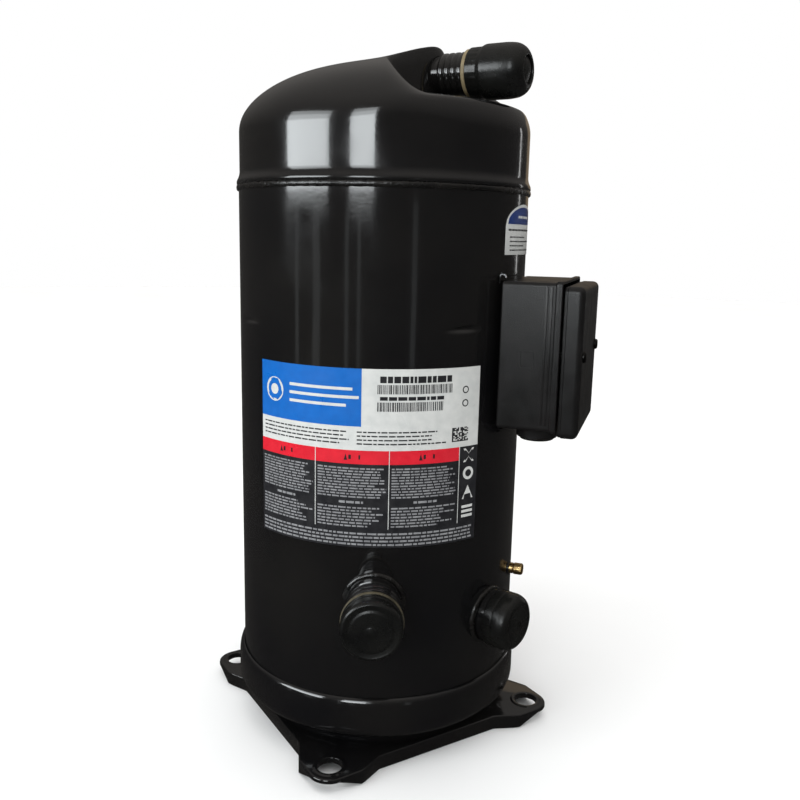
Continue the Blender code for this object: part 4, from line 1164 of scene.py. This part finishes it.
def add_frame_mark(bm, side, out, z):
    """A plain raised rectangle, open in the middle."""
    lift = math.copysign(0.0004, side)
    outer = ((-0.0048, -0.0062), (0.0048, -0.0062), (0.0048, 0.0062), (-0.0048, 0.0062))
    for (u0, v0), (u1, v1) in zip(outer, outer[1:] + outer[:1]):
        thick_u = 0.0006 if u0 == u1 else 0.0
        thick_v = 0.0006 if v0 == v1 else 0.0
        quad = [
            (u0 - thick_u, v0 - thick_v),
            (u1 - thick_u, v1 - thick_v),
            (u1 + thick_u, v1 + thick_v),
            (u0 + thick_u, v0 + thick_v),
        ]
        low = [(side - lift * 0.3, out + u, z + v) for u, v in quad]
        high = [(side + lift, out + u, z + v) for u, v in quad]
        add_block(bm, low, high)


def build_box_cover():
    half, near, front, low, high = box_extent("terminal_box_cover")
    wall = BOX_WALL
    fillet = COVER_CORNER_R

    def ring(step_in, out):
        corner = max(COVER_CORNER_R - step_in, 0.0012)
        return box_ring(half - step_in, low + step_in, high - step_in, corner, out)

    rings = [[box_point(0.0, front - 0.0004, (low + high) / 2)]]
    rings.append(ring(0.0120, front - 0.0004))
    rings.append(ring(0.0085, front - 0.0003))
    rings.append(ring(0.0075, front))
    for step in range(7):
        angle = math.radians(90.0 - 15.0 * step)
        rings.append(ring(fillet * (1 - math.cos(angle)), front - fillet * (1 - math.sin(angle))))
    rings += [
        ring(0.0, near + 0.0026),
        ring(0.0006, near + 0.0020),
        ring(0.0006, near + 0.0004),
        ring(0.0009, near),
        ring(wall, near),
        ring(wall, front - wall - 0.0010),
        ring(wall + 0.0010, front - wall),
        [box_point(0.0, front - wall, (low + high) / 2)],
    ]
    bm = bmesh.new()
    add_loops(bm, rings)
    cover = piece(
        "box_cover", bm, PLASTIC, "box_lid", ["terminal_box_cover"], sharp=40.0
    )
    for node in ("cover_screw_1", "cover_screw_2"):
        place = screw_place(node)
        carve(cover, plug_shape(place, 0.0024, 0.150, 0.180, 24))


def screw_place(node):
    """Turns local +Z outward on the line of one of the cover's screws."""
    low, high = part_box(node)
    middle = (low + high) / 2
    side = (middle - AXIS).dot(BOX_SIDE)
    return Matrix.Translation(BOX_SIDE * side) @ pointing_out(BOX_BEARING, middle.z)


def build_cover_screws():
    for name, node in (("lid_screw_left", "cover_screw_1"), ("lid_screw_right", "cover_screw_2")):
        place = screw_place(node)
        _, near, far, low, high = box_extent(node)
        head = (high - low) / 2
        seat = far - 0.0022
        profile = [
            (0.0, near),
            (0.0012, near),
            *threads(0.0016, 0.0020, near + 0.0006, seat - 0.0030, 0.0012),
            (0.0020, seat),
            (head, seat),
            (head, seat + 0.0008),
            (head - 0.0003, seat + 0.0016),
            (head - 0.0010, far),
            (0.0, far),
        ]
        bm = bmesh.new()
        add_turned(bm, profile, place, 32)
        screw = piece(name, bm, DARK_STEEL, "box_lid", [node])
        for turn in (0.0, 90.0):
            slot = bmesh.new()
            bmesh.ops.create_cube(slot, size=1.0, matrix=Matrix.Diagonal((0.0048, 0.0009, 0.0024, 1.0)))
            spin = Matrix.Rotation(math.radians(turn + 20.0), 4, "Z")
            slot.transform(place @ Matrix.Translation((0.0, 0.0, far)) @ spin)
            carve(screw, slot)


def build_conduit_plug():
    low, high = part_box("conduit_plug")
    flange = (high.x - low.x) / 2
    stem = 0.0109
    profile = soften(
        [
            (0.0, low.z + 0.0008),
            (0.0070, low.z + 0.0008, 0.0005),
            (0.0078, low.z, 0.0005),
            (flange, low.z, 0.0008),
            (flange, low.z + 0.0017, 0.0004),
            (stem, low.z + 0.0017),
            (stem, high.z, 0.0006),
            (0.0, high.z),
        ]
    )
    bm = bmesh.new()
    add_turned(bm, profile, conduit_place(), 48)
    piece("conduit_blank", bm, CAP_PLASTIC, nodes=["conduit_plug"])


def build_clip():
    """A small spring clip that holds the box's back edge at the top."""
    half, _, _, _, high = box_extent("terminal_box_base")
    side = -(half - 0.0085)
    out = math.sqrt(SHELL_R**2 - side**2)
    path = ((0.0012, -0.0030), (0.0014, 0.0022), (0.0026, 0.0038), (0.0050, 0.0034), (0.0062, 0.0012))
    bm = bmesh.new()
    rings = []
    wide, thick = 0.0016, 0.0004
    for reach, rise in path:
        z = high + rise
        quad = ((-wide, -thick), (wide, -thick), (wide, thick), (-wide, thick))
        rings.append([box_point(side + a, out + reach, z + b) for a, b in quad])
    add_capped(bm, rings)
    piece("box_clip", bm, CLIP_STEEL, sharp=60.0)


# ---------------------------------------------------------------- labels
LABEL_FOOT = 0.00035  # how far a label's underside stands off the tube
# how far each layer stands off the underside
FILM_LIFT = 0.00005
PANEL_LIFT = 0.00010
PRINT_LIFT = 0.00014
OVERPRINT_LIFT = PRINT_LIFT + 0.00003


class Label:
    """A printed film on the tube. Its own coordinates run 0 to 1 across and 0 to 1 up."""

    def __init__(self, node):
        low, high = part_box(node)
        spots = node_spots(node)
        centre = middle_bearing(spots)
        aways = [from_bearing(math.degrees(math.atan2(s.y, s.x)), centre) for s in spots]
        self.first = centre + min(aways)
        self.last = centre + max(aways)
        self.low, self.high = low.z, high.z
        self.radius = SHELL_R + LABEL_FOOT
        self.width = math.radians(self.last - self.first) * self.radius
        self.height = self.high - self.low
        self.groups = {}

    def spot(self, across, up, lift):
        bearing = self.first + (self.last - self.first) * across
        return polar(self.radius + lift, bearing, self.low + self.height * up)

    def patch(self, ink, across, up, lift):
        """A rectangle of ink, as a thin closed skin that follows the tube."""
        steps = max(int((across[1] - across[0]) * 40), 1)
        self.strip(ink, across, up[0], lambda at: up[1], lift, steps)

    def strip(self, ink, across, bottom, top_at, lift, steps):
        """A skin whose upper edge is a function of the place across it."""
        bm = self.groups.setdefault(ink, bmesh.new())
        left, right = across
        rings = []
        for i in range(steps + 1):
            at = left + (right - left) * i / steps
            top = top_at(at)
            rings.append(
                [
                    self.spot(at, bottom, 0.0),
                    self.spot(at, bottom, lift),
                    self.spot(at, top, lift),
                    self.spot(at, top, 0.0),
                ]
            )
        add_capped(bm, rings)

    def shape(self, ink, outline, lift):
        """A convex patch of ink from its outline."""
        bm = self.groups.setdefault(ink, bmesh.new())
        under = [self.spot(x, y, 0.0) for x, y in outline]
        over = [self.spot(x, y, lift) for x, y in outline]
        add_solid_quads(bm, under, over)

    def arch(self, ink, across, up, crown, lift):
        """A patch whose top rises from its shoulders, at up[1], to a crown in the middle."""
        bottom, shoulder = up
        middle, half = (across[0] + across[1]) / 2, (across[1] - across[0]) / 2

        def top_at(at):
            share = min(abs(at - middle) / half, 1.0)
            return shoulder + (crown - shoulder) * math.sqrt(1.0 - share * share)

        self.strip(ink, across, bottom, top_at, lift, 48)

    def disc(self, ink, across, up, radius, lift, steps=20):
        wide, tall = radius / self.width, radius / self.height
        outline = [(across + wide * math.cos(t), up + tall * math.sin(t)) for t in even_turns(steps)]
        self.shape(ink, outline, lift)

    def text_lines(self, ink, across, up, count, seed, fill, ragged):
        """Level rows of short dashes, which stand for small print."""
        draw = random.Random(seed)
        left, right = across
        bottom, top = up
        pitch = (top - bottom) / count
        for row in range(count):
            y = top - pitch * (row + 1)
            x = left
            end = right - (right - left) * ragged * draw.random()
            while x < end:
                word = (0.0018 + 0.0050 * draw.random()) / self.width
                stop = min(x + word, end)
                self.patch(ink, (x, stop), (y, y + pitch * fill), PRINT_LIFT)
                x = stop + 0.0009 / self.width

    def barcode(self, ink, across, up, seed):
        """Upright bars of random widths, which encode nothing."""
        draw = random.Random(seed)
        x, end = across
        while x < end:
            bar = (0.0003 + 0.0006 * draw.random()) / self.width
            self.patch(ink, (x, min(x + bar, end)), up, PRINT_LIFT)
            x += bar + (0.0003 + 0.0006 * draw.random()) / self.width

    def dot_square(self, ink, across, up, cells, seed):
        """A square of random cells, which encode nothing."""
        draw = random.Random(seed)
        (left, right), (bottom, top) = across, up
        for row in range(cells):
            for column in range(cells):
                if draw.random() < 0.45 and column and row:
                    continue
                x = left + (right - left) * column / cells
                y = bottom + (top - bottom) * row / cells
                ends = (x + (right - left) / cells, y + (top - bottom) / cells)
                self.patch(ink, (x, ends[0]), (y, ends[1]), PRINT_LIFT)

    def finish(self, prefix, inks, node):
        """Makes one piece for each ink. The first one is the film that stands for the CAD node."""
        for index, (ink, bm) in enumerate(self.groups.items()):
            nodes = [node] if index == 0 else []
            piece(f"{prefix}_{ink}", bm, inks[ink], nodes=nodes)


def build_rating_label():
    """The large label: coloured panel, data area with barcodes, red band and columns of small print."""
    label = Label("rating_label")
    label.patch("film", (0.0, 1.0), (0.0, 1.0), FILM_LIFT)
    label.patch("blue", (0.0, 0.487), (0.684, 1.0), PANEL_LIFT)
    label.patch("red", (0.0, 0.905), (0.475, 0.552), PANEL_LIFT)
    label.patch("black", (0.0, 0.905), (0.105, 0.475), PANEL_LIFT)
    label.patch("black", (0.905, 1.0), (0.105, 0.552), PANEL_LIFT)
    label.patch("black", (0.0, 1.0), (0.0, 0.105), PANEL_LIFT)

    for step, reach in enumerate((0.30, 0.36, 0.33)):
        y = 0.79 + 0.045 * step
        label.patch("film_marks", (0.17, 0.17 + reach * 0.85), (y, y + 0.016), PRINT_LIFT)
    for radius, ink in ((0.0092, "film_marks"), (0.0072, "blue_core"), (0.0040, "film_dot")):
        label.disc(ink, 0.085, 0.845, radius, PRINT_LIFT + (0.0092 - radius) * 0.01)

    label.text_lines("ink", (0.56, 0.86), (0.925, 0.965), 1, 3, 0.9, 0.05)
    label.barcode("ink", (0.55, 0.86), (0.865, 0.915), 11)
    label.text_lines("ink", (0.56, 0.84), (0.830, 0.855), 1, 5, 0.8, 0.10)
    label.barcode("ink", (0.55, 0.82), (0.770, 0.820), 23)
    for up in (0.875, 0.80):
        label.disc("ink", 0.925, up, 0.0028, PRINT_LIFT)
        label.disc("film_dot", 0.925, up, 0.0019, OVERPRINT_LIFT)
    label.dot_square("ink", (0.865, 0.945), (0.585, 0.665), 12, 41)
    label.text_lines("ink", (0.02, 0.44), (0.585, 0.672), 4, 7, 0.34, 0.10)
    label.text_lines("ink", (0.47, 0.84), (0.585, 0.672), 4, 9, 0.34, 0.25)

    columns = ((0.012, 0.284), (0.306, 0.592), (0.612, 0.895))
    for index, (left, right) in enumerate(columns):
        middle = (left + right) / 2
        size = 0.012
        peak = [(middle - size * 2.6, 0.496), (middle - size * 1.4, 0.496), (middle - size * 2.0, 0.532)]
        label.shape("red_ink_marks", peak, PRINT_LIFT)
        label.patch("red_ink_marks", (middle - size, middle + 3 * size), (0.502, 0.526), PRINT_LIFT)
        label.text_lines("grey", (left, right), (0.285, 0.462), 11, 50 + index, 0.5, 0.18)
        label.text_lines("grey", (middle - 0.05, middle + 0.05), (0.252, 0.268), 1, 60 + index, 0.8, 0.0)
        label.text_lines("grey", (left, right), (0.118, 0.240), 7, 70 + index, 0.5, 0.30)
    for across in (0.294, 0.600, 0.903):
        label.patch("film_marks", (across, across + 0.0028), (0.108, 0.552), PRINT_LIFT)
    label.text_lines("grey", (0.01, 0.99), (0.012, 0.095), 4, 81, 0.5, 0.02)
    for index, up in enumerate((0.500, 0.395, 0.285, 0.165)):
        draw_sign(label, 0.953, up, index)
    inks = {
        "film": WHITE_FILM,
        "blue": BLUE_INK,
        "red": RED_INK,
        "black": BLACK_INK,
        "film_marks": WHITE_FILM,
        "blue_core": BLUE_INK,
        "film_dot": WHITE_FILM,
        "ink": BLACK_INK,
        "red_ink_marks": BLACK_INK,
        "grey": GREY_PRINT,
    }
    label.finish("rating_label", inks, "rating_label")


def draw_sign(label, across, up, kind):
    """One of four plain white shapes: cross, ring, triangle, bars."""
    wide, tall = 0.0052 / label.width, 0.0052 / label.height
    if kind == 0:
        for sign in (-1, 1):
            slant = [
                (across - wide, up - sign * tall),
                (across - 0.6 * wide, up - sign * tall),
                (across + wide, up + sign * tall),
                (across + 0.6 * wide, up + sign * tall),
            ]
            label.shape("film_marks", slant, PRINT_LIFT)
    elif kind == 1:
        label.disc("film_marks", across, up, 0.0050, PRINT_LIFT)
        label.disc("ink", across, up, 0.0028, OVERPRINT_LIFT)
    elif kind == 2:
        peak = [(across - wide, up - tall), (across + wide, up - tall), (across, up + tall)]
        label.shape("film_marks", peak, PRINT_LIFT)
    else:
        for step in (-0.7, 0.0, 0.7):
            level = up + step * tall
            label.patch("film_marks", (across - wide, across + wide), (level, level + 0.4 * tall), PRINT_LIFT)


def build_side_label():
    """The small label above the terminal box: a dark header and a white field of small print."""
    label = Label("side_label")
    label.arch("film", (0.0, 1.0), (0.0, 0.56), 1.0, FILM_LIFT)
    label.arch("navy", (0.045, 0.955), (0.60, 0.61), 0.945, PANEL_LIFT)
    label.text_lines("film_marks", (0.30, 0.70), (0.72, 0.82), 1, 91, 0.5, 0.0)
    label.text_lines("ink", (0.06, 0.94), (0.47, 0.53), 1, 92, 0.6, 0.0)
    label.text_lines("ink", (0.10, 0.94), (0.08, 0.42), 4, 93, 0.30, 0.5)
    inks = {"film": WHITE_FILM, "navy": NAVY_INK, "film_marks": WHITE_FILM, "ink": BLACK_INK}
    label.finish("side_label", inks, "side_label")


# ---------------------------------------------------------------- stage
CAMERA_TURN = -30.407
CAMERA_DISTANCE = 0.7072
CAMERA_HEIGHT = 0.4062
CAMERA_LENS = 38.10
CAMERA_PAN = 1.332
CAMERA_PITCH = 10.926
CAMERA_ROLL = 1.225


def build_camera():
    pan, pitch, roll = (math.radians(a) for a in (CAMERA_PAN, CAMERA_PITCH, CAMERA_ROLL))
    ahead = Vector((math.sin(pan) * math.cos(pitch), math.cos(pan) * math.cos(pitch), -math.sin(pitch)))
    level = Vector((math.cos(pan), -math.sin(pan), 0.0))
    above = level.cross(ahead)
    right = level * math.cos(roll) + above * math.sin(roll)
    up = above * math.cos(roll) - level * math.sin(roll)
    turn = Matrix.Rotation(math.radians(CAMERA_TURN), 3, "Z")
    place = Matrix((turn @ right, turn @ up, turn @ -ahead)).transposed().to_4x4()
    place.translation = AXIS + turn @ Vector((0.0, -CAMERA_DISTANCE, CAMERA_HEIGHT))
    data = bpy.data.cameras.new("camera")
    data.lens = CAMERA_LENS
    data.sensor_width = 36.0
    camera = shown("camera", data)
    camera.matrix_world = place
    bpy.context.scene.camera = camera


def build_floor():
    """A plain pale floor that the glossy paint doesn't mirror."""
    bm = bmesh.new()
    rings = [circle_points(upright(), radius, -0.0002, 96) for radius in (0.0, 0.6, 2.0, 6.0)]
    add_loops(bm, rings)
    mesh = mesh_of("floor", bm)
    floor = shown("floor", mesh)
    look = Finish("pale_floor", roughness=0.9, specular=0.1)
    look.colours(look.noise(3.0, 3.0), [(0.3, (0.86, 0.86, 0.86)), (0.7, (0.89, 0.89, 0.89))])
    mesh.materials.append(look.made)
    floor.visible_glossy = False


WINDOW_COLOUR = (0.93, 0.98, 1.0)
LAMP_DISTANCE = 2.5


def softbox(name, bearing, low, high, width, radiance, colour=(1.0, 1.0, 1.0)):
    """An upright rectangular light that faces the shell's axis, as bright as its radiance."""
    data = bpy.data.lights.new(name, "AREA")
    data.shape = "RECTANGLE"
    data.size = width
    data.size_y = high - low
    data.energy = radiance * math.pi * width * (high - low)
    data.color = colour
    lamp = shown(name, data)
    lamp.location = polar(LAMP_DISTANCE, bearing, (low + high) / 2)
    lamp.rotation_euler = (-outward(bearing)).to_track_quat("-Z", "Y").to_euler()
    lamp.visible_camera = False


def build_lights():
    """Two tall windows, faint streaks below them, a warm wall to reflect, and soft light from above."""
    panes = ((0.56, 0.95, 9.5), (0.95, 1.35, 6.0), (1.35, 1.70, 3.5))
    for index, (low, high, radiance) in enumerate(panes):
        softbox(f"window_left_{index}", -179.6, low, high, 1.62, radiance, WINDOW_COLOUR)
        softbox(f"window_front_{index}", -136.8, low, high, 0.80, radiance, WINDOW_COLOUR)
    streaks = ((-171.0, 0.26), (-188.0, 0.14), (-147.0, 0.12), (-138.0, 0.10), (-97.0, 0.16))
    for index, (bearing, width) in enumerate(streaks):
        softbox(f"streak_{index}", bearing, -0.10, 0.52, width, 0.30, WINDOW_COLOUR)
    softbox("strip_right", 8.0, 0.05, 1.00, 0.07, 2.5)
    softbox("warm_wall", 46.0, 0.46, 1.10, 1.7, 0.20, (1.0, 0.74, 0.46))
    overhead = bpy.data.lights.new("overhead", "SUN")
    overhead.angle = math.radians(100.0)
    overhead.energy = 2.3
    lamp = shown("overhead", overhead)
    lamp.location = on_axis(3.0)
    lamp.visible_glossy = False
    lamp.visible_camera = False


def build_world():
    """White to the eye, soft for diffuse light, and a dim room in the paint's reflections."""
    world = bpy.data.worlds.new("studio")
    bpy.context.scene.world = world
    world.use_nodes = True
    tree = world.node_tree
    tree.nodes.clear()
    path = tree.nodes.new("ShaderNodeLightPath")
    output = tree.nodes.new("ShaderNodeOutputWorld")

    def background(colour, strength):
        node = tree.nodes.new("ShaderNodeBackground")
        node.inputs["Color"].default_value = (*colour, 1.0)
        node.inputs["Strength"].default_value = strength
        return node

    soft = background((1.0, 0.99, 0.97), 0.45)
    white = background((1.0, 1.0, 1.0), 1.0)
    room = background((1.0, 0.93, 0.86), 1.0)
    place = tree.nodes.new("ShaderNodeTexCoord")
    split = tree.nodes.new("ShaderNodeSeparateXYZ")
    tree.links.new(place.outputs["Generated"], split.inputs["Vector"])
    ramp = tree.nodes.new("ShaderNodeValToRGB")
    levels = ((0.0, 0.03), (0.48, 0.04), (0.56, 0.05), (0.80, 0.22), (1.0, 0.40))
    fill_ramp(ramp, [(at, (level, level * 0.95, level * 0.90)) for at, level in levels])
    scale = tree.nodes.new("ShaderNodeMapRange")
    scale.inputs["From Min"].default_value = -1.0
    scale.inputs["From Max"].default_value = 1.0
    tree.links.new(split.outputs["Z"], scale.inputs["Value"])
    tree.links.new(scale.outputs["Result"], ramp.inputs["Fac"])
    tree.links.new(ramp.outputs["Color"], room.inputs["Color"])
    glossy = tree.nodes.new("ShaderNodeMixShader")
    tree.links.new(path.outputs["Is Glossy Ray"], glossy.inputs["Fac"])
    tree.links.new(soft.outputs["Background"], glossy.inputs[1])
    tree.links.new(room.outputs["Background"], glossy.inputs[2])
    seen = tree.nodes.new("ShaderNodeMixShader")
    tree.links.new(path.outputs["Is Camera Ray"], seen.inputs["Fac"])
    tree.links.new(glossy.outputs["Shader"], seen.inputs[1])
    tree.links.new(white.outputs["Background"], seen.inputs[2])
    tree.links.new(seen.outputs["Shader"], output.inputs["Surface"])
    bpy.context.scene.view_settings.view_transform = "Standard"


finish_cad_nodes()
build_camera()
build_floor()
build_lights()
build_world()
build_tube()
build_bottom_cup()
build_cap()
ring_bead("cap_seam_weld", SHELL_R + 0.0006, SHELL_HIGH.z + 0.0012, 0.0012, 0.0022, 5.0, 0.4)
build_base()
build_ear_lips()
build_discharge()
build_suction()
build_sight_glass()
build_access_valve()
build_box_base()
build_box_ribs()
build_box_cover()
build_cover_screws()
build_conduit_plug()
build_clip()
build_rating_label()
build_side_label()
